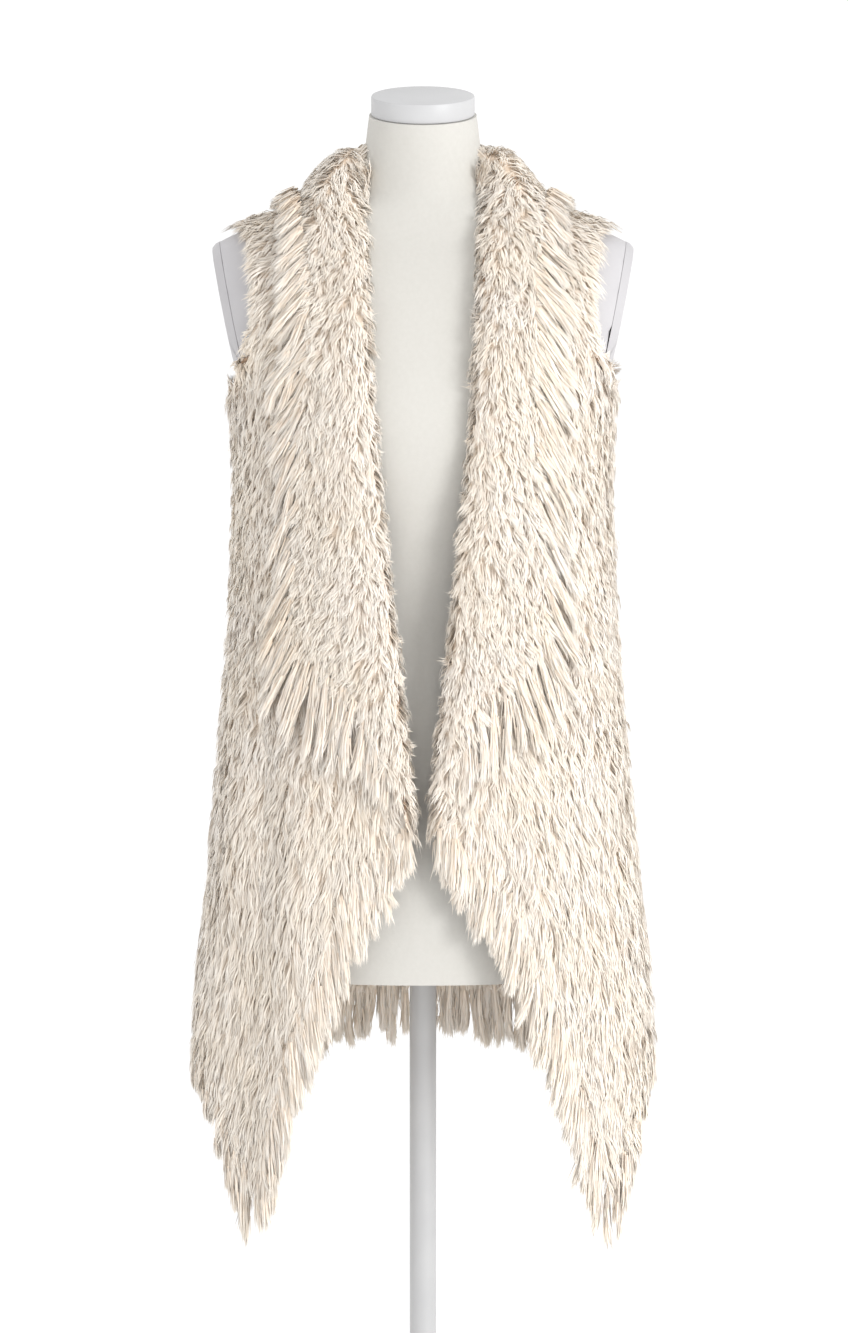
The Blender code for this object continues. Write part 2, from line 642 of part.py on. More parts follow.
def make_collar(name, side, collection):
    stations = collar_stations(side)
    on_panel = PILE_WALL + LIE_GAP
    first_laid = COLLAR_SEAM_COLUMN + 1

    def inner_point(station, column):
        if column <= COLLAR_SEAM_COLUMN:
            share = 1 - (1 - CLEAR_OF_SEAM) * column / COLLAR_SEAM_COLUMN
            return off_drape(*collar_path(station, "seam", "roll", share), COLLAR_OFF_FORM)
        if column == first_laid:
            return off_drape(*collar_path(station, "seam", "roll", CLEAR_OF_SEAM), on_panel)
        share = (column - first_laid) / (COLLAR_COLUMNS - 1 - first_laid)
        return off_drape(*collar_path(station, "seam", "edge", share), on_panel)

    def outer_point(station, column):
        share = column / (COLLAR_COLUMNS - 1)
        reach = on_panel + COLLAR_WALL
        lift = ROLL_WALL + (reach - ROLL_WALL) * min(share / COLLAR_ROLL_SHARE, 1)
        laid = off_drape(*collar_path(station, "roll", "edge", share), lift)
        top = off_drape(*collar_path(station, "roll", "edge", 0), ROLL_WALL)
        foot = off_drape(*collar_path(station, "roll", "edge", 1), reach)
        arch = Vector((0, 0, COLLAR_ARCH * (foot - top).length * share * (1 - share)))
        return laid.lerp(top.lerp(foot, share) + arch, station.bridge)

    def place(row, column, outer):
        station = stations[row]
        point = outer_point(station, column) if outer else inner_point(station, column)
        if row == 0:
            point.x += SEAM_GAP
        return mirrored(point, side)

    wall(name, len(stations), COLLAR_COLUMNS, place, collection)


def level_and_fall(spot):
    """The drape's level direction and fall line at a place, and how far its angle and height reach."""
    by_angle, by_height = tangents(*spot)
    level = by_angle.normalized()
    skew = by_height.dot(level)
    fall = -(by_height - level * skew)
    return level, fall.normalized(), by_angle.length, fall.length, skew


def moved_along(spot, lean, length, across=0.0):
    """Where a path ends that runs down the drape's fall line, turned by lean, and then to its side."""
    pieces = max(1, round(length / PATH_STEP))
    steps = [(math.sin(lean) * length / pieces, math.cos(lean) * length / pieces)] * pieces
    if across:
        steps = steps + [(math.cos(lean) * across, -math.sin(lean) * across)]
    for sideways, down in steps:
        _, _, per_angle, per_height, skew = level_and_fall(spot)
        drop = down / per_height
        spot = (spot[0] + (sideways + drop * skew) / per_angle, spot[1] - drop)
    return spot


def width_across(spot, lean, first, last):
    """How far apart two places are, measured across a lock that hangs from a spot."""
    level, fall, *_ = level_and_fall(spot)
    across = math.cos(lean) * level - math.sin(lean) * fall
    return (drape(*last) - drape(*first)).dot(across)


def make_fringe(name, side, edge, locks, gap, inner, outer, collection, ends):
    """A strip along an edge, slit into locks. edge(share) gives (angle, height, lean, length)."""
    pitch = (ends[1] - ends[0]) / locks

    def place(row, column, is_outer):
        lock, half = divmod(column, 2)
        first = ends[0] + (lock + (1 - LOCK_SHARE) / 2) * pitch
        last = first + LOCK_SHARE * pitch
        if row < 2:
            angle, z, lean, length = edge(last if half else first)
            spot = moved_along((angle, z), lean, gap + row * STRIP_WIDTH)
            return mirrored(off_drape(*spot, outer if is_outer else inner), side)
        angle, z, lean, length = edge((first + last) / 2)
        width = width_across((angle, z), lean, edge(first)[:2], edge(last)[:2])
        uneven = 1 + LOCK_UNEVEN * math.sin(LOCK_BEAT * lock + LOCK_START)
        reach, taper, thickness = length * uneven, LOCK_TIP_TAPER, LOCK_TIP_THICKNESS
        if row == 2:
            reach, taper = reach / 2, LOCK_MIDDLE_TAPER
            thickness = LOCK_MIDDLE_THICKNESS * (outer - inner)
        across = width * taper * (half - 0.5)
        spot = moved_along((angle, z), lean, gap + STRIP_WIDTH + reach, across)
        offset = (inner + outer) / 2 + thickness * (0.5 if is_outer else -0.5)
        return mirrored(off_drape(*spot, offset), side)

    def kept(row, column):
        return row == 0 or column % 2 == 0

    wall(name, 4, 2 * locks, place, collection, kept=kept)


def edge_path(rows):
    """Rows of (angle, height, lean, length) as a function of a share of the edge.

    Equal shares are equally wide, measured across the locks, so that slanting locks stand apart.
    """
    lengths = [width_across(a[:2], (a[2] + b[2]) / 2, a[:2], b[:2]) for a, b in zip(rows, rows[1:])]

    def row_at(share):
        want = share * sum(lengths)
        for row, after, length in zip(rows, rows[1:], lengths):
            if abs(want) <= abs(length) or after is rows[-1]:
                return mixed(row, after, min(want / length, 1))
            want -= length

    return row_at


def collar_edge(side):
    rows = []
    for station in collar_stations(side):
        angle = angle_at(station.edge_x, station.edge_z, station.facing)
        lean = math.radians(station.lean_deg) * (1 if station.facing < 0 else -1)
        rows.append((angle, station.edge_z, lean, station.lock))
    return edge_path(rows)


def front_edge(side):
    rows = []
    for k, row in enumerate(front_rows(side)[ROLL_END_ROW:]):
        lean = FRONT_EDGE_LEAN * min(k / 2, 1)  # the first locks hang straight beside the centre line
        rows.append((*row[1], lean, FRONT_EDGE_LOCK))
    return edge_path(rows)


def front_hem(side):
    panel = front_rows(side)
    rows = []
    for column in range(PANEL_COLUMNS + 1):
        share = column / PANEL_COLUMNS
        length = SIDE_HEM_LOCK + (CORNER_HEM_LOCK - SIDE_HEM_LOCK) * hem_fall(share)
        rows.append((*front_place(panel, len(panel) - 1, share), 0.0, length))
    return edge_path(rows)


def make_fringes(collection):
    on_panel = PILE_WALL + LIE_GAP
    thin = (STRIP_TRIM, PILE_WALL - STRIP_TRIM)
    for word, side in (("left", 1), ("right", -1)):
        make_fringe(
            f"fringe_collar_{word}", side, collar_edge(side), COLLAR_LOCKS, SLANT_GAP,
            on_panel + STRIP_TRIM, on_panel + COLLAR_WALL - STRIP_TRIM, collection, COLLAR_FRINGE_ENDS,
        )
        make_fringe(
            f"fringe_front_{word}", side, front_edge(side), FRONT_LOCKS, SLANT_GAP,
            *thin, collection, FRONT_FRINGE_ENDS,
        )
        make_fringe(
            f"fringe_hem_{word}", side, front_hem(side), FRONT_HEM_LOCKS, FRONT_HEM_GAP,
            *thin, collection, FRONT_HEM_ENDS,
        )


def make_back_fringe(collection):
    """The back hem's fringe, from one side seam to the other, as two halves meeting at the centre."""
    side_end, neck, centre = back_rows()[-1]
    columns = BACK_COLUMNS // 4
    rows = [(*mixed(side_end, neck, k / columns), 0.0, BACK_HEM_LOCK) for k in range(columns)]
    rows += [(*mixed(neck, centre, k / columns), 0.0, BACK_HEM_LOCK) for k in range(columns + 1)]
    for word, side in (("left", 1), ("right", -1)):
        make_fringe(
            f"fringe_back_{word}", side, edge_path(rows), BACK_HEM_LOCKS // 2, BACK_HEM_GAP,
            STRIP_TRIM, PILE_WALL - STRIP_TRIM, collection, BACK_HEM_ENDS,
        )


def main():
    clear_scene()
    collection = bpy.data.collections.new("fur_vest_on_dress_form")
    bpy.context.scene.collection.children.link(collection)
    make_torso(collection)
    make_arm_plate("form_arm_plate_left", 1, collection)
    make_arm_plate("form_arm_plate_right", -1, collection)
    make_neck_cap(collection)
    make_stand(collection)
    make_back(collection)
    for word, side in (("left", 1), ("right", -1)):
        make_front(f"vest_front_{word}", side, collection)
        make_collar(f"vest_collar_{word}", side, collection)
    make_fringes(collection)
    make_back_fringe(collection)


main()
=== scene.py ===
# %% [markdown]
# # A fur vest on a dress form
# The vest is knitted from narrow strips of rabbit fur, so both the body and the long fringe are fur.
# It has no sleeves and no fastening. A wide shawl collar turns back into lapels, and the fronts
# fall to a point on each side. A limbless dress form on a steel stand holds it up.
# The solid model gives the place and thickness of every piece. This file gives each piece its look.

# %% Load the solid model
import json
import math

import bmesh
import bpy
import numpy as np
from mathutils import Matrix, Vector
from mathutils.bvhtree import BVHTree

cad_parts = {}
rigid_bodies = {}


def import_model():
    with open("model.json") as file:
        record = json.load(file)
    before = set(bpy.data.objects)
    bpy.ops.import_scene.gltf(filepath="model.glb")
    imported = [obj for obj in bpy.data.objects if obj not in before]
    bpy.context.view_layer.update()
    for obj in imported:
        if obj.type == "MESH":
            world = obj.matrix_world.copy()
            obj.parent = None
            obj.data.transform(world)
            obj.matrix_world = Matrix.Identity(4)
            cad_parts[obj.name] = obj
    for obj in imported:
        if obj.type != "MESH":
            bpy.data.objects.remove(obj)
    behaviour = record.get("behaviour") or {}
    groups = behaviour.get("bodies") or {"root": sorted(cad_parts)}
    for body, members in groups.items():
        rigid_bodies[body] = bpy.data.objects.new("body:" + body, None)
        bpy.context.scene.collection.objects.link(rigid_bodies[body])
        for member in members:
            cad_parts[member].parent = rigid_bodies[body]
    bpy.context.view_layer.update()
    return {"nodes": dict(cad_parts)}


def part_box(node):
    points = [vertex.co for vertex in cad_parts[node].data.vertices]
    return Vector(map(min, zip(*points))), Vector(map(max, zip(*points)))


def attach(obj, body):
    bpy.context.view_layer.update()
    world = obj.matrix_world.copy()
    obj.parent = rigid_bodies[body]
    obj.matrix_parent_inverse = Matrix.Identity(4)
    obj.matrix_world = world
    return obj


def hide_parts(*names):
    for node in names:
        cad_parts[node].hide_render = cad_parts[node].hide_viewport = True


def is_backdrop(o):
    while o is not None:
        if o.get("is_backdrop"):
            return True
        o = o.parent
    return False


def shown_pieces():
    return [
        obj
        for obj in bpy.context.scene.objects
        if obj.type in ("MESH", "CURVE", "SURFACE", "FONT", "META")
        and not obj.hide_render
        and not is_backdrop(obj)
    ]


for thing in list(bpy.data.objects):
    bpy.data.objects.remove(thing)
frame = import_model()

# %% [markdown]
# ## Camera and light
# The picture is a shop photograph: a long lens a little above the middle of the vest, and a white
# studio. A white sky lights everything evenly. One large lamp at chest height, far to the right and
# in front, gives the fur its direction: the vest's left side in the picture is the darker one.

# %% Camera and light
CAMERA_PLACE = Vector((0.0, -5.0, 1.60))
CAMERA_AIM = Vector((0.001, 0.0, 1.030))
LENS = 146.0
SKY_STRENGTH = 1.06
LAMP_PLACE = Vector((2.9, -3.3, 1.8))
LAMP_AIM = Vector((0, 0, 1.05))
LAMP_SIZE = 1.5
LAMP_WATTS = 92

scene = bpy.context.scene
scene.view_settings.view_transform = "Standard"


def aimed(name, data, place, aim):
    """A camera or a lamp that looks from one place to another."""
    thing = bpy.data.objects.new(name, data)
    thing.location = place
    thing.rotation_euler = (aim - place).to_track_quat("-Z", "Y").to_euler()
    scene.collection.objects.link(thing)
    return thing


scene.camera = aimed("studio_camera", bpy.data.cameras.new("studio_camera"), CAMERA_PLACE, CAMERA_AIM)
scene.camera.data.lens = LENS
key_lamp = bpy.data.lights.new("key_lamp", "AREA")
key_lamp.size = LAMP_SIZE
key_lamp.energy = LAMP_WATTS
aimed("key_lamp", key_lamp, LAMP_PLACE, LAMP_AIM)

sky = bpy.data.worlds.new("studio_white")
sky.use_nodes = True
sky.node_tree.nodes["Background"].inputs["Color"].default_value = (1, 1, 1, 1)
sky.node_tree.nodes["Background"].inputs["Strength"].default_value = SKY_STRENGTH
scene.world = sky
print("camera", tuple(scene.camera.location), "lens", LENS)


# %% [markdown]
# ## A short way to write shaders
# A material is a graph of nodes. Two small classes let the graph be written as sums, so the
# maths of a weave reads like maths. Plain numbers are worked out by Python and never become nodes.

# %% Shader helpers
class Wire:
    """A socket's output that takes part in Python expressions."""

    def __init__(self, finish, socket):
        self.finish = finish
        self.socket = socket

    def maths(self, operation, first, second):
        return self.finish.node("ShaderNodeMath", {"operation": operation}, {0: first, 1: second})

    def __add__(self, other):
        return self.maths("ADD", self, other)

    __radd__ = __add__

    def __sub__(self, other):
        return self.maths("SUBTRACT", self, other)

    def __rsub__(self, other):
        return self.maths("SUBTRACT", other, self)

    def __mul__(self, other):
        return self.maths("MULTIPLY", self, other)

    __rmul__ = __mul__


class Finish:
    """One material and its node tree."""

    def __init__(self, name, **constants):
        self.material = bpy.data.materials.new(name)
        self.material.use_nodes = True
        self.shader = self.material.node_tree.nodes["Principled BSDF"]
        self.wear(**constants)

    def put(self, socket, value):
        if isinstance(value, Wire):
            self.material.node_tree.links.new(value.socket, socket)
        else:
            socket.default_value = value

    def node(self, kind, settings, sockets, output=0):
        made = self.material.node_tree.nodes.new(kind)
        for name, value in settings.items():
            if name == "stops":
                ramp = made.color_ramp
                while len(ramp.elements) < len(value):
                    ramp.elements.new(1)
                for element, (place, tint) in zip(ramp.elements, value):
                    element.position = place
                    element.color = tint
            else:
                setattr(made, name, value)
        for name, value in sockets.items():
            self.put(made.inputs[name], value)
        return Wire(self, made.outputs[output])

    def blend(self, amount, first, second, kind="MIX"):
        settings = {"data_type": "RGBA", "blend_type": kind}
        return self.node("ShaderNodeMix", settings, {0: amount, 6: first, 7: second}, 2)

    def place(self):
        return self.node("ShaderNodeTexCoord", {}, {}, "Object")

    def noise(self, where, scale, detail=2.0):
        return self.node("ShaderNodeTexNoise", {}, {"Vector": where, "Scale": scale, "Detail": detail})

    def bands(self, where, direction, scale, wobble):
        settings = {"wave_type": "BANDS", "bands_direction": direction}
        sockets = {"Vector": where, "Scale": scale, "Distortion": wobble}
        return self.node("ShaderNodeTexWave", settings, sockets, 1)

    def ramp(self, value, limits):
        """0 below the first limit, 1 above the second and even in between."""
        return self.node("ShaderNodeMapRange", {}, {0: value, 1: limits[0], 2: limits[1]})

    def bump(self, height, depth, strength=1.0):
        return self.node("ShaderNodeBump", {}, {"Height": height, "Distance": depth, "Strength": strength})

    def wear(self, **sockets):
        for socket, value in sockets.items():
            self.put(self.shader.inputs[socket.replace("_", " ").title()], value)


def chip(red, green, blue):
    """A paint chip's numbers, 0 to 255, as linear light."""
    shares = [value / 255 for value in (red, green, blue)]
    light = [s / 12.92 if s <= 0.04045 else ((s + 0.055) / 1.055) ** 2.4 for s in shares]
    return (*light, 1.0)


print("a mid grey chip reflects", round(chip(128, 128, 128)[0], 3), "of the light")

# %% [markdown]
# ## The studio floor
# The stand is on white paper. The floor isn't part of the vest, so it is marked as stage. A faint
# noise gives the paper its unevenness.

# %% Floor
FLOOR_SIZE = 60
PAPER_SCALE = 40.0

floor_finish = Finish("studio_floor", roughness=0.6)
paper = floor_finish.noise(floor_finish.place(), PAPER_SCALE)
floor_finish.wear(base_color=floor_finish.blend(paper, chip(253, 253, 253), chip(255, 255, 255)))
bpy.ops.mesh.primitive_plane_add(size=FLOOR_SIZE)
floor = bpy.context.object
floor.name = "studio_floor"
floor.data.materials.append(floor_finish.material)
floor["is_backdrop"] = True
print("floor", floor.dimensions[:2])

# %% [markdown]
# ## Reading a solid's skin
# A solid arrives as loose triangles. Merging the corners gives a skin that can be smoothed. A
# wall has an outer and an inner skin; the outer one faces away from the dress form, so the
# nearest place on the torso tells them apart.

# %% Skins of the solids
MERGE = 0.00002  # corners closer than this are one
FORM_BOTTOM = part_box("form_torso")[0].z
FORM_EDGE = 0.01  # height of the form's lower edge
SURELY_OUT = 0.5  # cosine from the direction away from the form
GENTLE = math.cos(math.radians(38))  # between two faces of one skin


def unit(vectors):
    return vectors / (np.linalg.norm(vectors, axis=-1, keepdims=True) + 1e-12)


def rows_of(collection, label, kind):
    """One attribute of a mesh's points or triangles, three numbers a row."""
    values = np.empty(len(collection) * 3, kind)
    collection.foreach_get(label, values)
    return values.reshape(-1, 3)


def mesh_arrays(mesh):
    """A mesh's points, their normals and its triangles."""
    mesh.calc_loop_triangles()
    points = rows_of(mesh.vertices, "co", np.float32).astype(float)
    normals = rows_of(mesh.vertex_normals, "vector", np.float32).astype(float)
    return points, normals, rows_of(mesh.loop_triangles, "vertices", np.int32)


def skin_of(node):
    """A solid's points, each one once, and its triangles."""
    points, _, corners = mesh_arrays(frame["nodes"][node].data)
    keys = np.round(points / MERGE).astype(np.int64)
    _, first, merged = np.unique(keys, axis=0, return_index=True, return_inverse=True)
    return points[first], merged.reshape(-1)[corners]


def tree_of(node):
    """A solid's skin, ready to be asked for its nearest place."""
    points, triangles = skin_of(node)
    return BVHTree.FromPolygons(points.tolist(), triangles.tolist())


torso_tree = tree_of("form_torso")


def away_from_form(point):
    """The direction from the nearest place on the dress form, level with it or at its lower edge."""
    level = Vector((point[0], point[1], max(point[2], FORM_BOTTOM + FORM_EDGE)))
    nearest = torso_tree.find_nearest(level)[0]
    return (level - nearest).normalized()


def sides_of(triangle):
    i, j, k = triangle
    return frozenset((i, j)), frozenset((j, k)), frozenset((k, i))


def facing_out(points, triangles):
    """A wall's outer skin: what faces away from the form, and what joins it over gentle edges."""
    a, b, c = (points[triangles[:, k]] for k in range(3))
    normals = unit(np.cross(b - a, c - a))
    away = np.array([away_from_form(p) for p in (a + b + c) / 3])
    outward = (normals * away).sum(1)
    sides = [sides_of(triangle) for triangle in triangles.tolist()]
    owners = {}
    for number, three in enumerate(sides):
        for side in three:
            owners.setdefault(side, []).append(number)
    grown = set(np.flatnonzero(outward > SURELY_OUT).tolist())
    fresh = grown
    while fresh:
        reached = {
            other
            for number in fresh
            for side in sides[number]
            for other in owners[side]
            if normals[other] @ normals[number] > GENTLE
        }
        fresh = {number for number in reached - grown if outward[number] > -SURELY_OUT}
        grown = grown | fresh
    return triangles[sorted(grown)]


print("torso skin:", len(skin_of("form_torso")[1]), "triangles")

# %% [markdown]
# ## Smoothing a skin
# A skin of triangles subdivides into a lumpy surface, and one of four-cornered faces into an even
# one. So pairs of triangles are joined first. Edges that are meant to be sharp get a crease.

# %% Smoothing
JOIN_FACES = math.radians(40)  # the most that two joined triangles may bend
JOIN_SHAPES = math.radians(80)  # and the most that a joined face may be out of square


def four_cornered(mesh, crease_deg):
    """Join a mesh's triangles in pairs, and crease the edges that are sharper than an angle."""
    bm = bmesh.new()
    bm.from_mesh(mesh)
    bmesh.ops.join_triangles(
        bm, faces=bm.faces[:], angle_face_threshold=JOIN_FACES, angle_shape_threshold=JOIN_SHAPES
    )
    if crease_deg:
        layer = bm.edges.layers.float.new("crease_edge")
        for edge in bm.edges:
            if len(edge.link_faces) == 2 and edge.calc_face_angle(0) > math.radians(crease_deg):
                edge[layer] = 1.0
    bm.to_mesh(mesh)
    bm.free()


def smooth_mesh(name, points, triangles, levels, crease_deg=None):
    """A mesh of four-cornered faces, subdivided into one curve, with creases at its sharp edges."""
    used, numbers = np.unique(triangles, return_inverse=True)
    mesh = bpy.data.meshes.new(name)
    mesh.from_pydata(points[used].tolist(), [], numbers.reshape(-1, 3).tolist())
    four_cornered(mesh, crease_deg)
    thing = bpy.data.objects.new(name, mesh)
    scene.collection.objects.link(thing)
    finer = thing.modifiers.new("finer", "SUBSURF")
    finer.levels = finer.render_levels = levels
    finer.boundary_smooth = "PRESERVE_CORNERS"
    evaluated = thing.evaluated_get(bpy.context.evaluated_depsgraph_get())
    thing.data = bpy.data.meshes.new_from_object(evaluated)
    thing.data.name = name
    thing.modifiers.clear()
    thing.data.shade_smooth()
    if crease_deg:
        thing.data.set_sharp_from_angle(angle=math.radians(crease_deg))
    bpy.data.meshes.remove(mesh)
    return thing


print("triangles join up to", round(math.degrees(JOIN_FACES)), "degrees")

# %% [markdown]
# ## The dress form's finishes
# The form is a padded torso under off-white linen, with a white cap on the neck, pale grey plates
# at the arms and a painted steel pole. The linen is plain weave: threads round the body and threads
# up it, which need no unwrapping when the angle round the axis is used. At the arms' flat cuts the
# linen is painted the plates' grey, as painted shade.

# %% Linen
THREAD_ROUND = 940  # waves of the threads in the angle round the body
THREAD_UP = 6300  # and in the height
THREAD_SHARE = 0.5  # of the weave's relief; the rest is slub
SLUB_SCALE = 260.0  # thick and thin places in the threads
SLUB_TINT = 0.6
CLOUD_SCALE = 9.0  # slow changes of colour
CLOUD_TINT = 0.3
WEAVE_DEPTH = 0.0002
WEAVE_STRENGTH = 0.6
# painted shade: where the linen at the arm cuts is painted the plates' grey
ARM_SHADE_REACH = (0.158, 0.161)  # distances from the centre line over which the linen turns plate grey
ARM_SHADE_LEVEL = (1.26, 1.27)  # and the heights where that begins

linen = Finish("form_linen", roughness=0.88, sheen_weight=0.15)
where = linen.place()
axes = linen.node("ShaderNodeSeparateXYZ", {}, {"Vector": where})
east, north, height = (Wire(linen, axes.socket.node.outputs[k]) for k in range(3))
around = east.maths("ARCTAN2", north, east)
warp = around.maths("SINE", around * THREAD_ROUND, 0.0)
weft = height.maths("SINE", height * THREAD_UP, 0.0)
slub = linen.noise(where, SLUB_SCALE, 3.0)
cloud = linen.noise(where, CLOUD_SCALE)
weave = warp * weft * THREAD_SHARE + slub
linen_colour = linen.blend(slub * SLUB_TINT, chip(200, 198, 192), chip(214, 212, 207))
linen_colour = linen.blend(cloud * CLOUD_TINT, linen_colour, chip(208, 204, 197))
# painted shade: the linen at the arms' flat cuts turns the plates' grey
arm_cut_painted_shade = linen.ramp(east.maths("ABSOLUTE", east, 0.0), ARM_SHADE_REACH) * linen.ramp(height, ARM_SHADE_LEVEL)
linen.wear(
    base_color=linen.blend(arm_cut_painted_shade, linen_colour, chip(196, 194, 196)),
    normal=linen.bump(weave, WEAVE_DEPTH, WEAVE_STRENGTH),
)
print("linen:", len(linen.material.node_tree.nodes), "nodes")

# %% Enamel and paint
PEEL_SCALE = 800.0  # the grain of sprayed paint
PEEL_DEPTH = 0.00005
PEEL_ROUGH = 0.15
DRIFT_SCALE = 26.0  # its slow drift of colour


def painted(name, dull, bright, roughness):
    """Sprayed paint: a slow drift of colour and a fine orange-peel grain."""
    paint = Finish(name)
    where = paint.place()
    grain = paint.noise(where, PEEL_SCALE, 3.0)
    paint.wear(
        base_color=paint.blend(paint.noise(where, DRIFT_SCALE), dull, bright),
        roughness=grain * PEEL_ROUGH + roughness,
        normal=paint.bump(grain, PEEL_DEPTH),
    )
    return paint


cap_enamel = painted("neck_cap_enamel", chip(188, 188, 189), chip(197, 197, 198), 0.34)
plate_enamel = painted("arm_plate_enamel", chip(184, 182, 184), chip(192, 190, 192), 0.36)
steel_paint = painted("stand_paint", chip(178, 178, 179), chip(190, 190, 190), 0.32)
print("paints:", [paint.material.name for paint in (cap_enamel, plate_enamel, steel_paint)])

# %% [markdown]
# ## The dress form
# The solid torso has flat facets. Subdividing its skin gives one curve, and a crease keeps the flat
# cuts at the arms sharp. The turned pieces are fine enough as they are.

# %% Pieces of the form
# piece, then its solid, finish and slot, how often it is subdivided and its sharp edges' angle
FORM_PIECES = (
    ("linen_torso", "form_torso", linen, "form_linen", 2, 38),
    ("neck_cap", "form_neck_cap", cap_enamel, "form_enamel", 0, 25),
    ("arm_plate_left", "form_arm_plate_left", plate_enamel, "form_enamel", 0, 25),
    ("arm_plate_right", "form_arm_plate_right", plate_enamel, "form_enamel", 0, 25),
    ("pole", "stand_pole", steel_paint, "stand_steel", 0, 25),
    ("pole_hub", "stand_hub", steel_paint, "stand_steel", 0, 25),
    ("stand_plate", "stand_base", steel_paint, "stand_steel", 0, 25),
)


def put_on(thing, finish):
    thing.data.materials.clear()
    thing.data.materials.append(finish.material)
    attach(thing, "root")
    return thing


for name, node, finish, slot, levels, crease_deg in FORM_PIECES:
    piece = smooth_mesh(name, *skin_of(node), levels, crease_deg)
    put_on(piece, finish)
    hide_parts(node)
    print(name, "faces:", len(piece.data.polygons))

# %% [markdown]
# ## The knitted ground
# Under the pile is a loose knit of fur strips, which shows as tan at the roots and brown on the inside.
# The tan at the roots is partly painted shade under the locks; the inside is the same knit painted darker,
# as painted shade.
# It could be a simulated cloth, but the vest hangs from the shoulders of a fixed form, so its shape
# is known: the outer skin of each solid wall, moved in by the depth of the pile. The large folds are
# in the solids already. The finer creases are laid in from a short table.

# %% Knit finish
WALES = 44.0  # columns of loops
COURSES = 52.0  # rows of loops
WALE_WOBBLE = 1.2
COURSE_WOBBLE = 1.6
LOOP_DEPTH = 0.0014
FUZZ_SCALE = 420.0
FUZZ_SHARE = 0.5


def knit_finish(name, deep, raised):
    """Loops of knitted fur strip, from the colour between the loops to the colour on them."""
    knit = Finish(name, roughness=0.9, sheen_weight=0.2)
    where = knit.place()
    wale = knit.bands(where, "X", WALES, WALE_WOBBLE)
    course = knit.bands(where, "Z", COURSES, COURSE_WOBBLE)
    loops = wale * course
    fuzz = knit.noise(where, FUZZ_SCALE, 4.0)
    colour = knit.blend(loops, deep, raised)
    knit.wear(
        base_color=knit.blend(fuzz * FUZZ_SHARE, colour, raised),
        normal=knit.bump(loops + fuzz * FUZZ_SHARE, LOOP_DEPTH),
    )
    return knit


# the outside's tan shows between the locks, partly as painted shade under them
knit_outside = knit_finish("knit_outside", chip(237, 219, 199), chip(249, 236, 220))
# the inside: the same knit painted darker brown, as painted shade where it lies in the vest's shadow
knit_inside_painted_shade = knit_finish("knit_inside_painted_shade", chip(132, 102, 78), chip(190, 160, 132))
print("knit:", len(knit_outside.material.node_tree.nodes), "nodes a side")

# %% Knit panels
PILE = 0.0075
KNIT_THICKNESS = 0.002
PANEL_LEVELS = 2
PANELS = ("back", "front_left", "front_right", "collar_left", "collar_right")
# panel, then the crease's line from top to bottom, how wide it is and how far it stands out
CREASES = (
    ("front_right", -0.160, 1.24, -0.186, 0.66, 0.012, 0.0035),
    ("front_right", -0.140, 1.02, -0.155, 0.66, 0.010, -0.0040),
    ("front_right", -0.100, 0.97, -0.128, 0.72, 0.012, 0.0030),
    ("front_left", 0.158, 1.22, 0.188, 0.70, 0.013, 0.0030),
    ("front_left", 0.128, 1.00, 0.150, 0.64, 0.011, -0.0035),
    ("front_left", 0.095, 0.96, 0.120, 0.72, 0.012, 0.0030),
    ("back", 0.070, 1.34, 0.085, 0.76, 0.016, -0.0035),
    ("back", -0.062, 1.36, -0.090, 0.78, 0.016, -0.0030),
    ("back", 0.010, 1.16, -0.010, 0.80, 0.014, 0.0030),
)
CREASE_SKEW = 0.7  # below 1, a crease is deepest above the middle of its line


def crease_height(panel, points):
    total = np.zeros(len(points))
    for where, x_top, z_top, x_low, z_low, width, height in CREASES:
        if where == panel:
            share = np.clip((z_top - points[:, 2]) / (z_top - z_low), 0, 1)
            away = (points[:, 0] - x_top - (x_low - x_top) * share) / width
            total += height * np.sin(np.pi * share**CREASE_SKEW) * np.exp(-(away**2))
    return total


def knit_panel(panel):
    node = "vest_" + panel
    points, triangles = skin_of(node)
    cloth = smooth_mesh("knit_" + panel, points, facing_out(points, triangles), PANEL_LEVELS)
    points, normals, _ = mesh_arrays(cloth.data)
    moved = points + normals * (crease_height(panel, points) - PILE)[:, None]
    cloth.data.vertices.foreach_set("co", moved.astype(np.float32).ravel())
    cloth.data.update()
    body = cloth.modifiers.new("body", "SOLIDIFY")
    body.thickness = KNIT_THICKNESS
    body.offset = -1
    body.material_offset = 1
    put_on(cloth, knit_outside)
    # the inside's finish, painted darker as painted shade
    cloth.data.materials.append(knit_inside_painted_shade.material)
    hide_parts(node)
    return cloth


cloths = {panel: knit_panel(panel) for panel in PANELS}
for panel, cloth in cloths.items():
    area = sum(face.area for face in cloth.data.polygons)
    size = [round(float(x), 3) for x in cloth.dimensions]
    print("knit", panel, "area", round(area, 4), "size", size, "faces", len(cloth.data.polygons))

# %% [markdown]
# ## One ribbon of fur
# Rabbit fur knits into small locks that lie over each other like shingles: tan at the root, cream at
# the tip, and the tan is partly painted shade under the locks above. Hair particles can't be exported
# as a mesh, so each lock is a handful of narrow ribbons that taper to a point, all made at once as
# arrays. Every ribbon has its own small cell in the texture map, so a baked colour doesn't run from
# one lock into the next.

# %% Fur finish
PATCH_SCALE = 14.0  # slow changes from warm to cool cream
ROOT_ROUGH = 0.82
TIP_GLOSS = 0.2
# root to tip: the tanner roots are partly painted shade under the locks above
STRAND_STOPS = (
    (0.0, chip(246, 235, 222)),
    (0.25, chip(249, 241, 232)),
    (0.55, chip(250, 246, 240)),
    (1.0, chip(250, 248, 245)),
)

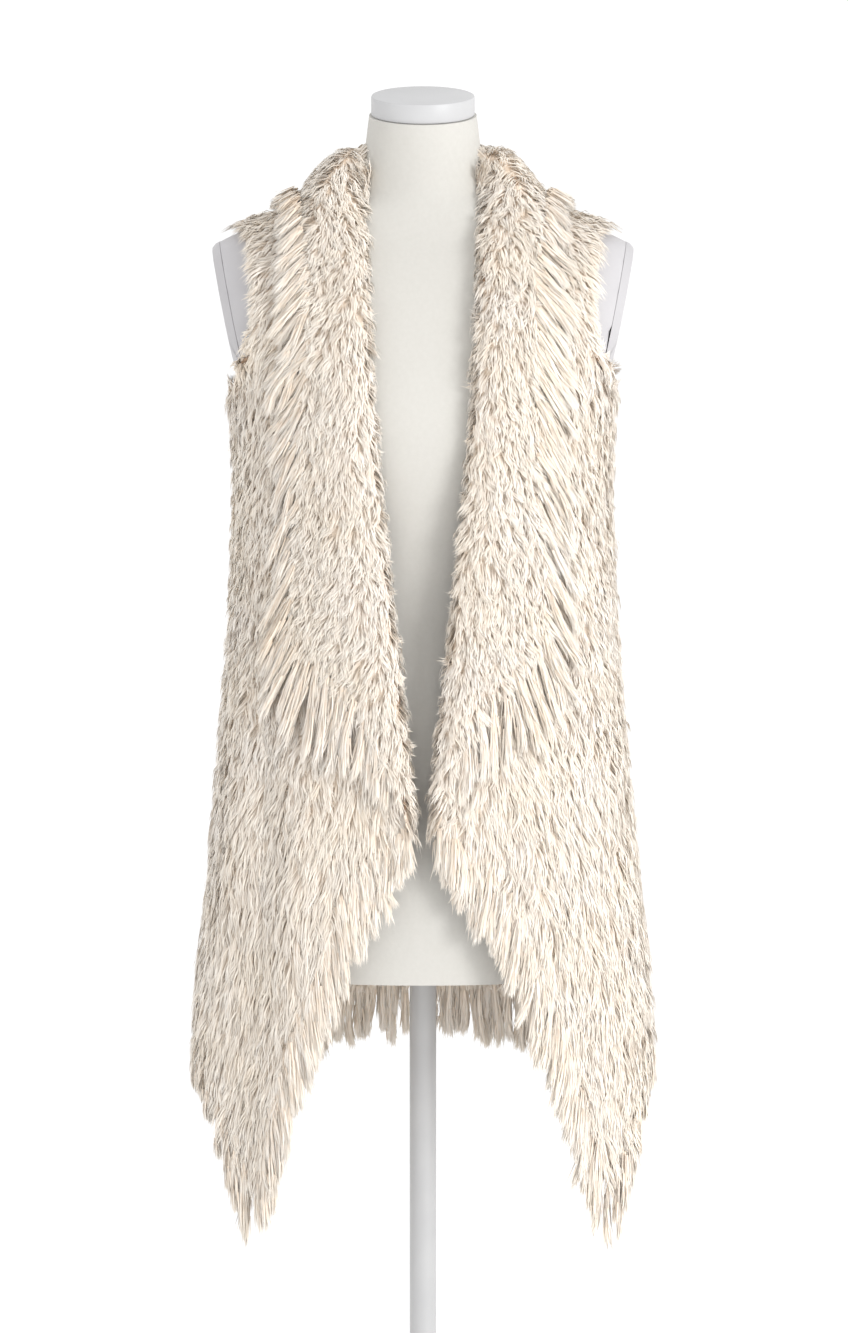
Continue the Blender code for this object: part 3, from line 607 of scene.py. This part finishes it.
fur = Finish("rabbit_fur", roughness=0.72, sheen_weight=0.25)
along = fur.node("ShaderNodeAttribute", {"attribute_name": "along"}, {}, "Fac")
tone = fur.node("ShaderNodeAttribute", {"attribute_name": "tone"}, {}, "Fac")
patch = fur.noise(fur.place(), PATCH_SCALE, 3.0)
strand = fur.node("ShaderNodeValToRGB", {"stops": STRAND_STOPS}, {"Fac": along})
warm = fur.blend(patch, chip(254, 248, 238), chip(251, 249, 248))
# the tan that darker locks take, and the painted shade on the sides of locks and strands
shade = fur.blend(tone, chip(242, 234, 223), chip(255, 255, 255))
tinted = fur.blend(1.0, strand, warm, "MULTIPLY")
fur_colour = fur.blend(1.0, tinted, shade, "MULTIPLY")
fur.wear(base_color=fur_colour, roughness=ROOT_ROUGH - along * TIP_GLOSS)
print("fur finish:", len(fur.material.node_tree.nodes), "nodes")

# %% Ribbons
RIBBON_SHARES = np.array([0.0, 0.55, 1.0])  # a ribbon's three stations, from root to tip
RIBBON_TAPER = np.array([1.0, 0.9])  # its width at the first two; at the third it is a point
RIBBON_POINTS = 5
RIBBON_CORNERS = np.array([0, 1, 3, 2, 2, 3, 4])  # one face of four corners, then one of three
FACE_STARTS = np.array([0, 4])
RIBBON_WIDTH = 0.00125
CELL_ACROSS = np.array([0.85, 0.15, 0.85, 0.15, 0.5])  # where the points lie in a ribbon's cell
CELL_START = 0.1  # how far up its cell a ribbon starts, and how much of the cell it takes
CELL_LENGTH = 0.8
chance = np.random.default_rng(20)


def cells_of(count, along):
    """Each ribbon's five places in the texture map."""
    side = math.ceil(math.sqrt(count))
    cell = np.stack([np.arange(count) % side, np.arange(count) // side], 1)[:, None, :]
    inside = np.stack([CELL_ACROSS, CELL_START + CELL_LENGTH * along], 1)
    return ((cell + inside) / side).reshape(-1, 2)


def fur_mesh(name, paths, across, normals, width, tone):
    """paths: ribbons by 3 points; across: each ribbon's flat direction; the rest: one a ribbon."""
    count = len(paths)
    reach = across[:, None, :] * (width[:, None] / 2 * RIBBON_TAPER)[:, :, None]
    points = np.empty((count, RIBBON_POINTS, 3))
    points[:, 0:4:2] = paths[:, :2] + reach
    points[:, 1:4:2] = paths[:, :2] - reach
    points[:, 4] = paths[:, 2]
    ribbon = np.arange(count)[:, None]
    loops = (ribbon * RIBBON_POINTS + RIBBON_CORNERS).ravel()
    starts = (ribbon * len(RIBBON_CORNERS) + FACE_STARTS).ravel()
    mesh = bpy.data.meshes.new(name)
    mesh.vertices.add(count * RIBBON_POINTS)
    mesh.vertices.foreach_set("co", points.astype(np.float32).ravel())
    mesh.loops.add(len(loops))
    mesh.loops.foreach_set("vertex_index", loops.astype(np.int32))
    mesh.polygons.add(len(starts))
    mesh.polygons.foreach_set("loop_start", starts.astype(np.int32))
    along = np.repeat(RIBBON_SHARES, [2, 2, 1])
    for label, values in (("along", np.tile(along, count)), ("tone", np.repeat(tone, RIBBON_POINTS))):
        mesh.attributes.new(label, "FLOAT", "POINT").data.foreach_set("value", values.astype(np.float32))
    flat = cells_of(count, along)[loops]
    mesh.update(calc_edges=True)
    mesh.uv_layers.new(name="OFBake").data.foreach_set("uv", flat.astype(np.float32).ravel())
    mesh.shade_smooth()
    mesh.normals_split_custom_set_from_vertices(np.repeat(unit(normals), RIBBON_POINTS, axis=0).tolist())
    thing = bpy.data.objects.new(name, mesh)
    scene.collection.objects.link(thing)
    return thing


def fur_piece(name, parts, widths):
    """One piece of fur from groups of ribbons, with their widths' range as shares of the usual one."""
    paths, flats, normals, tones = (np.concatenate(group) for group in zip(*parts))
    width = RIBBON_WIDTH * chance.uniform(*widths, len(paths))
    return put_on(fur_mesh(name, paths, flats, normals, width, tones), fur)


print("one ribbon:", RIBBON_POINTS, "points and", len(FACE_STARTS), "faces")

# %% [markdown]
# ## Where the locks grow
# The locks start from spots that keep their distance from each other, as knitted loops do. A plain
# random scatter would leave bald places. Where the collar covers a front, no fur is needed, so a ray
# from each spot asks what lies over it.

# %% Spots and covers
COVER_REACH = 0.05
TRIES = 7  # spots that are tried for each one that could fit
ROW_STRETCH = np.array([1.0, 1.0, 0.72])  # below 1, locks are farther apart in that direction

collar_cover = [tree_of("vest_collar_left"), tree_of("vest_collar_right")]
fringe_cover = [tree_of("fringe_collar_left"), tree_of("fringe_collar_right")]


def covered(spots, facing, trees):
    """True where one of the pieces lies over a spot."""
    found = []
    for spot, normal in zip(spots, facing):
        hits = [tree.ray_cast(Vector(spot), Vector(normal), COVER_REACH)[0] for tree in trees]
        found.append(any(hit is not None for hit in hits))
    return np.array(found)


def apart(places):
    """The numbers of the places that are kept when each keeps a distance of 1 from the others."""
    taken, kept = {}, []
    for number, spot in enumerate(places.tolist()):
        cell = [math.floor(x) for x in spot]
        near = (
            other
            for i in (-1, 0, 1)
            for j in (-1, 0, 1)
            for k in (-1, 0, 1)
            for other in taken.get((cell[0] + i, cell[1] + j, cell[2] + k), ())
        )
        if all(math.dist(spot, other) >= 1 for other in near):
            taken.setdefault(tuple(cell), []).append(spot)
            kept.append(number)
    return kept


def scattered(points, normals, triangles, spacing):
    """Spots on a mesh that keep their distance, with their normals."""
    a, b, c = (points[triangles[:, k]] for k in range(3))
    area = np.linalg.norm(np.cross(b - a, c - a), axis=1) / 2
    tries = int(area.sum() / spacing**2 * TRIES)
    picked = chance.choice(len(triangles), tries, p=area / area.sum())
    u, v = chance.random((2, tries))
    fold = u + v > 1
    u[fold], v[fold] = 1 - u[fold], 1 - v[fold]
    weights = np.stack([1 - u - v, u, v], 1)[:, :, None]
    spots = (points[triangles[picked]] * weights).sum(1)
    facing = unit((normals[triangles[picked]] * weights).sum(1))
    kept = apart(spots * ROW_STRETCH / spacing)
    return spots[kept], facing[kept]


print("covers:", len(collar_cover), "collar halves and", len(fringe_cover), "fringes")

# %% [markdown]
# ## How the fur lies
# Each lock lies down the cloth under its own weight, with a lean away from the centre line. On the
# collar it turns from the roll, where the cloth folds over, out to the lapel's edge. Two slow waves
# add a swirl, as in a brushed coat.

# %% Lay of the fur
# height and distance from the centre line of the roll, where the collar turns over
ROLL_LINE = np.array([
    (0.896, 0.004), (0.962, 0.009), (1.061, 0.0195), (1.180, 0.032), (1.282, 0.041),
    (1.383, 0.0468), (1.440, 0.049), (1.497, 0.0535), (1.516, 0.058),
])
PANEL_LEAN = 0.07  # a lean of 1 is 45 degrees from straight down
SHOULDER_LEAN = 0.55
SHOULDER_RISE = (1.28, 0.08)  # where the fur starts to lean to the shoulder, and over what height
LAPEL_LEAN = 0.32
ROLL_LEAN = -0.30
ROLL_REACH = 0.050
LEAN_TURN = 0.03  # distance from the centre line over which the lean changes sides
SWIRLS = ((0.12, 37, 23, 1.3), (0.10, 71, -52, 0.4))  # size, waves across and up, and start
LAY_SPREAD = 0.12


def from_roll(spots):
    """How far each spot lies outside the roll line."""
    return np.abs(spots[:, 0]) - np.interp(spots[:, 2], ROLL_LINE[:, 0], ROLL_LINE[:, 1])


def square_to(axes, vectors):
    """The part of each vector that is square to its axis, at length one."""
    return unit(vectors - axes * (vectors * axes).sum(1)[:, None])


def lay_of(panel, spots, facing):
    """Which way each lock lies: down the cloth, with a lean and a slow swirl."""
    x, z = spots[:, 0], spots[:, 2]
    if panel.startswith("collar"):
        share = np.clip(from_roll(spots) / ROLL_REACH, 0, 1)
        lean = ROLL_LEAN + (LAPEL_LEAN - ROLL_LEAN) * share
    else:
        lean = PANEL_LEAN + SHOULDER_LEAN * np.clip((z - SHOULDER_RISE[0]) / SHOULDER_RISE[1], 0, 1)
    swirl = sum(size * np.sin(across * x + up * z + start) for size, across, up, start in SWIRLS)
    pull = np.zeros((len(spots), 3))
    pull[:, 0] = np.tanh(x / LEAN_TURN) * lean + swirl + chance.normal(0, LAY_SPREAD, len(spots))
    pull[:, 2] = -1
    return square_to(facing, pull)


print("roll line from", ROLL_LINE[0, 0], "to", ROLL_LINE[-1, 0], "m high")

# %% [markdown]
# ## A lock
# A lock rises off the ground before it settles on the lock below. Its ribbons start from a small
# round patch, gather a little towards the tip, and differ in length, lift and bend. The normals turn
# from the middle of the lock to its sides, so that a few flat ribbons are lit like a round tuft. The
# hairs at a lock's sides are also coloured darker, as painted shade.

# %% Locks
LOCK_RADIUS = 0.0044
LOCK_CLUMP = 0.32  # how far a lock's ribbons gather towards the tip
LOCK_ROUND = 0.35  # how far the normals turn from the middle of a lock to its sides
LENGTH_SPREAD = 0.13  # from lock to lock
LENGTH_RANGE = (0.6, 1.08)  # from ribbon to ribbon
LIFT_SPREAD = 0.18
LIFT_RANGE = (0.55, 1.2)
LOCK_BEND = 0.003
RIBBON_BEND = 0.0022
RIBBON_ROLL = 0.45
RISE = 1.8  # a ribbon's slope at its root; it levels off before the tip
SAG = 0.25  # how far a lock's tip sinks where the cloth faces up
TONE = 0.86  # the usual lock, from 0 for the darkest to 1 for the palest
TONE_SPREAD = 0.10
# painted shade on the sides of locks and strands
PAINTED_EDGE_SHADE = 0.18  # how much darker the hairs at a lock's sides are


def varied(usual, spread, limits, hairs):
    """A value for each ribbon, which differs from lock to lock and from ribbon to ribbon."""
    locks = len(usual)
    of_lock = usual * chance.normal(1, spread, locks)
    return of_lock[:, None] * chance.uniform(*limits, (locks, hairs))


def locks_from(spots, facing, lay, length, lift, hairs):
    """Ribbons for many locks: their paths, flat directions, normals, and tones with painted shade at the
    sides.
    """
    locks = len(spots)
    side = np.cross(facing, lay)
    turn = chance.uniform(0, 2 * np.pi, (locks, hairs))
    share = np.sqrt(chance.random((locks, hairs)))
    reach = varied(length, LENGTH_SPREAD, LENGTH_RANGE, hairs)
    rise = varied(lift, LIFT_SPREAD, LIFT_RANGE, hairs)
    bend = chance.normal(0, LOCK_BEND, (locks, 1)) + chance.normal(0, RIBBON_BEND, (locks, hairs))
    s = RIBBON_SHARES
    gather = LOCK_RADIUS * (1 - LOCK_CLUMP * s)
    sideways = (share * np.cos(turn))[..., None] * gather + bend[..., None] * s**2
    down = (share * np.sin(turn))[..., None] * gather + reach[..., None] * s
    out = rise[..., None] * (RISE * s - s**2)
    paths = (
        spots[:, None, None, :]
        + side[:, None, None, :] * sideways[..., None]
        + lay[:, None, None, :] * down[..., None]
        + facing[:, None, None, :] * out[..., None]
    )
    paths[..., 2] -= SAG * reach[..., None] * s**2 * np.clip(facing[:, 2], 0, 1)[:, None, None]
    roll = chance.normal(0, RIBBON_ROLL, (locks, hairs, 1))
    flats = side[:, None] * np.cos(roll) + facing[:, None] * np.sin(roll)
    round_off = LOCK_ROUND * share * np.cos(turn)
    normals = facing[:, None] + side[:, None] * round_off[..., None]
    tones = chance.normal(TONE, TONE_SPREAD, (locks, 1)) + chance.normal(0, TONE_SPREAD, (locks, hairs))
    # painted shade: the hairs at a lock's sides are made darker
    tones = np.clip(tones - PAINTED_EDGE_SHADE * share**2 * np.abs(np.cos(turn)), 0, 1)
    return paths.reshape(-1, 3, 3), flats.reshape(-1, 3), normals.reshape(-1, 3), tones.ravel()


print("a lock is", round(LOCK_RADIUS * 2000, 1), "mm wide at its root")

# %% [markdown]
# ## Fur over the rims
# On the real vest the pile hides every cut edge of the knit. So locks grow along each panel's rim
# too, in layers, and lean over it. At the neck they stand up. The rest of the collar's outer edge
# has its fringe instead.

# %% Rims
PANEL_RIM = 0.009  # the rim fur's length on the panels
ROLL_RIM = 0.011  # and on the collar's roll
NECK_RIM = 0.020  # and at the neck
RIM_LAYERS = (0.7, 0.15, -0.5)  # how far each layer of locks lifts off the cloth
ROLL_LAYERS = (0.9, 0.35, -0.4)
RIM_LIFT = 0.6
RIM_SPREAD = 0.15
RIM_WANDER = 0.0015
FACES_UP = 0.3  # over a rim that faces up more than this, the fur stands
RIM_DROOP = -0.9  # how strongly a panel's rim fur is drawn down
ROLL_DROOP = -0.5  # and the roll's
NECK_STAND = 1.0  # and how strongly the neck's is drawn up
NECK_HEIGHT = 1.475  # above it the rolled rim's fur stands up
ROLL_FUR = 0.016  # how far from the roll line the rim counts as rolled
ROLL_END = 0.930  # below it the lapels' tips hang free of each other
SEAM_NEAR = 0.004  # how close to the centre line the collar's back seam is
SHOULDER_EDGE = 1.36  # above it the collar's fringed edge has rim fur as well


def rim_of(mesh):
    """Places along a cloth's rim, with the direction that leaves the cloth there and its normal."""
    points, normals, triangles = mesh_arrays(mesh)
    sides = [triangles[:, [k, (k + 1) % 3]] for k in range(3)]
    pairs = np.sort(np.concatenate(sides), axis=1)
    middle = points[triangles].mean(1)
    owner = np.tile(np.arange(len(triangles)), 3)
    _, first, count = np.unique(pairs, axis=0, return_index=True, return_counts=True)
    rim = first[count == 1]
    spots = points[pairs[rim]].mean(1)
    along_rim = unit(points[pairs[rim, 1]] - points[pairs[rim, 0]])
    leaving = square_to(along_rim, spots - middle[owner[rim]])
    return spots, leaving, unit(normals[pairs[rim]].sum(1))


def rim_locks(panel, hairs):
    """Locks that lean over a cloth's rim, so that the knit's cut edge doesn't show."""
    spots, leaving, facing = rim_of(cloths[panel].data)
    up = np.where(leaving[:, 2] > FACES_UP, 0.0, RIM_DROOP)
    layers, size = RIM_LAYERS, np.full(len(spots), PANEL_RIM)
    if panel.startswith("collar"):
        at_seam = (np.abs(spots[:, 0]) < SEAM_NEAR) & (spots[:, 1] > 0)
        rolled = (from_roll(spots) < ROLL_FUR) & (spots[:, 2] > ROLL_END)
        keep = (rolled | (spots[:, 2] > SHOULDER_EDGE)) & ~at_seam
        spots, leaving, facing = spots[keep], leaving[keep], facing[keep]
        at_neck = spots[:, 2] > NECK_HEIGHT
        up = np.where(at_neck, NECK_STAND, ROLL_DROOP)
        layers, size = ROLL_LAYERS, np.where(at_neck, NECK_RIM, ROLL_RIM)
    pull = leaving + chance.normal(0, RIM_SPREAD, spots.shape)
    pull[:, 2] += up
    lay = square_to(facing, pull)
    parts = []
    for layer in layers:
        wander = spots + chance.normal(0, RIM_WANDER, spots.shape)
        parts.append(locks_from(wander, facing, lay, size, size * RIM_LIFT * layer, hairs))
    return parts


print("rim layers:", len(RIM_LAYERS), "on panels and", len(ROLL_LAYERS), "on the collar")

# %% [markdown]
# ## The coats
# The collar's fur is shortest and densest, and the fronts' fur gets longer towards the hem. Under
# the collar's fringe it is shorter, so that the fringe isn't pushed up by it.

# %% Coats of the panels
# spacing across, lock length, lift off the ground and ribbons in a lock
COATS = {
    "back": (0.0068, 0.022, 0.0085, 13),
    "front_left": (0.0056, 0.020, 0.0085, 17),
    "front_right": (0.0056, 0.020, 0.0085, 17),
    "collar_left": (0.0050, 0.016, 0.0090, 19),
    "collar_right": (0.0050, 0.016, 0.0090, 19),
}
COAT_WIDTHS = (0.75, 1.25)
LOW_LONGER = 0.55  # how much longer the fur is at the bottom of the vest
LOW_TOP = 1.02  # where it starts to get longer, and the height over which it does
LOW_REACH = 0.20
UNDER_FRINGE = 0.45  # share of its lift that the fur keeps under the collar's fringe
UNDER_SHOULDER = 0.3  # added to that where the fringe lies flat on the shoulder
LIES_FLAT = 0.3  # cloth that faces up more than this counts as the shoulder
FLAT_SHORTER = 0.1  # how much shorter the fur is on cloth that faces straight up
KEPT_LENGTH = 0.4  # share of a lock's length that doesn't shrink with its lift


def coat(panel):
    spacing, length, lift, hairs = COATS[panel]
    spots, facing = scattered(*mesh_arrays(cloths[panel].data), spacing)
    short = np.ones(len(spots))
    if not panel.startswith("collar"):
        clear = ~covered(spots, facing, collar_cover)
        spots, facing = spots[clear], facing[clear]
        under_fringe = UNDER_FRINGE + UNDER_SHOULDER * np.clip(facing[:, 2] / LIES_FLAT, 0, 1)
        short = np.where(covered(spots, facing, fringe_cover), under_fringe, 1.0)
    short *= 1 - FLAT_SHORTER * np.clip((facing[:, 2] - LIES_FLAT) / (1 - LIES_FLAT), 0, 1)
    lay = lay_of(panel, spots, facing)
    longer = 1 + LOW_LONGER * np.clip((LOW_TOP - spots[:, 2]) / LOW_REACH, 0, 1)
    lengths = length * longer * (KEPT_LENGTH + (1 - KEPT_LENGTH) * short)
    parts = [locks_from(spots, facing, lay, lengths, lift * short, hairs)]
    return fur_piece("fur_" + panel, parts + rim_locks(panel, hairs // 2), COAT_WIDTHS)


coats = {}
for panel in PANELS:
    coats[panel] = coat(panel)
    print("fur", panel, "ribbons", len(coats[panel].data.vertices) // RIBBON_POINTS)

# %% [markdown]
# ## The fringe's lines
# The fringe is the same fur, left as loose knitted strips, so every lock is a soft rope that
# hangs from a narrow band. The solid model holds each lock as a slim tapering bar. The bars are found
# again from the small faces at their tips, so the fringe follows the solids without a second list.

# %% Lines of the strands
TIP_CAP = 0.0065  # only the small faces at a bar's tip have edges this short


def in_row(bars):
    """Bars in the order of their roots along the edge, from the lowest one on."""
    roots = np.array([bar[0].mean(0) for bar in bars])
    order = [int(roots[:, 2].argmin())]
    left = set(range(len(bars))) - set(order)
    while left:
        order.append(min(left, key=lambda k: math.dist(roots[k], roots[order[-1]])))
        left.remove(order[-1])
    return np.array([bars[k] for k in order])


def lock_bars(node):
    """Each bar of a fringe solid as its three rings of four corners, from the root to the tip."""
    points, triangles = skin_of(node)
    corners = points[triangles]
    longest = np.linalg.norm(corners - np.roll(corners, 1, axis=1), axis=2).max(1)
    beside = {}
    for triangle in triangles.tolist():
        for corner in triangle:
            beside.setdefault(corner, set()).update(triangle)
    tips = set(triangles[longest < TIP_CAP].ravel().tolist())
    bars = []
    while tips:
        ring, found = set(), {tips.pop()}
        while found:
            ring |= found
            found = set().union(*(beside[corner] for corner in ring)) & tips
            tips -= found
        middle = set().union(*(beside[corner] for corner in ring)) - ring
        root = set().union(*(beside[corner] for corner in middle)) - middle - ring
        if len(root) == len(middle) == len(ring) == 4:
            bars.append(np.array([points[sorted(corners)] for corners in (root, middle, ring)]))
    return in_row(bars)


def strand_lines(node):
    """A line of three points for each strand: one along every bar, and one beside it."""
    lines = lock_bars(node).mean(2)
    steps = np.append(np.diff(lines, axis=0), [lines[-1] - lines[-2]], axis=0)
    return np.stack([lines, lines + steps / 2], 1).reshape(-1, 3, 3)


print("strands on a front edge:", len(strand_lines("fringe_front_left")))

# %% [markdown]
# ## The strands
# One tapering tube a strand would look like rope. Short ribbons that start all along the line, each
# a little off it, give the broken outline of real fur. Every strand has its own length, width and
# sway. On the shoulders the strands lie flat, and they are shorter there and near the middle.

# %% Strands
HAIR_LENGTH = 0.030
HAIR_LENGTHS = (0.6, 1.2)  # shares of that length
HAIR_STARTS = (-0.16, 0.76)  # where hairs start, from 0 at a bar's root to 1 at its tip
HAIR_ENDS = (0.86, 1.07)  # where the last ones end, as shares of the strand
HAIR_SPREAD = 0.62  # how far hairs are from the strand's line, as a share of its half width
HAIR_SWELL = (0.75, 0.3)  # that share at a hair's root, and what is added to it by the tip
HAIR_ROLL = 0.5
STRAND_GROWN = (0.86, 1.05)  # a strand's length as a share of its bar
STRAND_FULL = (0.75, 1.15)  # a strand's width as a share of the usual one
BAR_STATIONS = np.array([0.0, 0.5, 1.0])
STRAND_WIDE = np.array([0.0042, 0.0048, 0.0036])  # half a strand's width at its root, middle and tip
STRAND_DEEP = np.array([0.0030, 0.0034, 0.0026])
STRAND_ROUND = 0.8
STRAND_SWAY = 0.0028
SWAY_TURN = 3.4  # a little over half a wave from root to tip
STRAND_STRAY = 0.0016  # how far single hairs leave their strand
STRAND_STEP = 0.0012  # every other strand stands out this much
LIE_SHORTER = 0.60  # strands that lie on the shoulder are this much shorter
LIE_SINK = 0.0120  # and their tips sink this far towards the panel
BACK_COLLAR = 1.3  # strands on the back of the collar are this much wider
MIDDLE_SHORTER = 0.55  # strands are this much shorter where lapel and front edge meet the middle
MIDDLE_REACH = {"collar": 0.10, "front": 0.22}  # shares of an edge over which they get longer again


def shortened(edge, share):
    """A strand's length by its place in the row, which starts at the edge's lowest end."""
    kind = edge.split("_")[0]
    from_middle = {"collar": share, "front": 1 - share}.get(kind, 1)
    return 1 - MIDDLE_SHORTER * max(1 - from_middle / MIDDLE_REACH.get(kind, 1), 0)


def hair_stations(grown, long, hairs):
    """Where each hair's three stations lie on its strand: 0 at the bar's root and 1 at its tip."""
    start = chance.uniform(HAIR_STARTS[0], HAIR_STARTS[1] * grown, hairs)
    longest = start + HAIR_LENGTH * chance.uniform(*HAIR_LENGTHS, hairs) / long
    end = np.minimum(longest, grown * chance.uniform(*HAIR_ENDS, hairs))
    return start[:, None] + (end - start)[:, None] * RIBBON_SHARES


def on_curve(line, t):
    """Places on the curve through a line's three points."""
    return (
        line[0] * (2 * (t - 0.5) * (t - 1))[..., None]
        - line[1] * (4 * t * (t - 1))[..., None]
        + line[2] * (2 * t * (t - 0.5))[..., None]
    )


def strand_ribbons(edge, line, share, stands_out, hairs):
    """The ribbons of one strand: their paths, flat directions, normals, and tones with painted shade at
    the sides.
    """
    axis = unit(line[2] - line[0])
    outward = np.array(away_from_form(line[1]))
    outward = unit(outward - axis * (outward @ axis))
    sideways = np.cross(axis, outward)
    lies = max(outward[2], 0)
    grown = chance.uniform(*STRAND_GROWN) * (1 - LIE_SHORTER * lies) * shortened(edge, share)
    t = hair_stations(grown, np.linalg.norm(line[2] - line[0]), hairs)
    turn = chance.uniform(0, 2 * np.pi, hairs)
    spread = np.abs(chance.normal(0, HAIR_SPREAD, hairs))
    swell = HAIR_SWELL[0] + HAIR_SWELL[1] * RIBBON_SHARES
    stray = chance.normal(0, STRAND_STRAY, (hairs, 1)) * RIBBON_SHARES**2
    fuller = BACK_COLLAR if edge.startswith("collar") and line[0][1] > 0 else 1.0
    wide = np.interp(t, BAR_STATIONS, STRAND_WIDE * fuller * chance.uniform(*STRAND_FULL)) * swell
    wide = wide * (np.cos(turn) * spread)[:, None] + stray
    deep = np.interp(t, BAR_STATIONS, STRAND_DEEP) * swell * (np.sin(turn) * spread)[:, None]
    phase = chance.uniform(0, 2 * np.pi)
    sway = chance.normal(0, STRAND_SWAY) * (np.sin(SWAY_TURN * t + phase) - np.sin(phase))
    depth = stands_out + chance.normal(0, STRAND_STEP) - LIE_SINK * lies * np.clip(t, 0, 1)
    paths = on_curve(line, t) + sideways * (wide + sway)[..., None] + outward * (deep + depth)[..., None]
    roll = chance.normal(0, HAIR_ROLL, (hairs, 1))
    flats = -sideways * np.cos(roll) + outward * np.sin(roll)
    normals = outward + sideways * (STRAND_ROUND * np.cos(turn) * spread)[:, None]
    # painted shade: the hairs at a strand's sides are made darker
    painted_edge_shade = PAINTED_EDGE_SHADE * np.minimum(np.cos(turn) * spread, 1) ** 2
    tones = chance.normal(TONE, TONE_SPREAD) + chance.normal(0, TONE_SPREAD, hairs) - painted_edge_shade
    return paths, flats, normals, np.clip(tones, 0, 1)


print("a strand is about", round(STRAND_WIDE.max() * 2000, 1), "mm wide")

# %% Fringes
# edge, then the panel that carries it and the ribbons in a strand
FRINGES = {
    "collar_left": ("collar_left", 200),
    "collar_right": ("collar_right", 200),
    "front_left": ("front_left", 190),
    "front_right": ("front_right", 190),
    "hem_left": ("front_left", 190),
    "hem_right": ("front_right", 190),
    "back_left": ("back", 210),
    "back_right": ("back", 210),
}
FRINGE_WIDTHS = (0.8, 1.3)


def fringe(edge, hairs):
    lines = strand_lines("fringe_" + edge)
    parts = []
    for number, line in enumerate(lines):
        share = number / (len(lines) - 1)
        stands_out = STRAND_STEP if number % 2 else -STRAND_STEP
        parts.append(strand_ribbons(edge, line, share, stands_out, hairs))
    return fur_piece("fringe_fur_" + edge, parts, FRINGE_WIDTHS)


fringes = {}
for edge, (panel, hairs) in FRINGES.items():
    fringes[edge] = fringe(edge, hairs)
    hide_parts("fringe_" + edge)
    print("fringe", edge, "ribbons", len(fringes[edge].data.vertices) // RIBBON_POINTS)

# %% [markdown]
# ## What each piece of cloth was cut to
# Each knitted panel is a sheet of cloth. The size it was cut to, its area and what it rests on are
# listed, and printed with the fur and the fringe that go with it.

# %% Cut sizes
CUTS = {
    "back": ((0.52, 0.80), 0.355, ["form_torso"]),
    "front_left": ((0.30, 0.92), 0.152, ["form_torso"]),
    "front_right": ((0.30, 0.92), 0.155, ["form_torso"]),
    "collar_left": ((0.14, 0.72), 0.052, ["knit_front_left", "knit_back"]),
    "collar_right": ((0.15, 0.72), 0.055, ["knit_front_right", "knit_back"]),
}
for panel, (flat, area, rests_on) in CUTS.items():
    carried = [coats[panel]] + [fringes[edge] for edge in FRINGES if FRINGES[edge][0] == panel]
    print("cut", panel, flat, "carries", [piece.name for piece in carried])

# %% Sizes and finish
total = sum(len(p.data.polygons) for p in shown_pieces() if p.type == "MESH")
print("faces in all:", total)
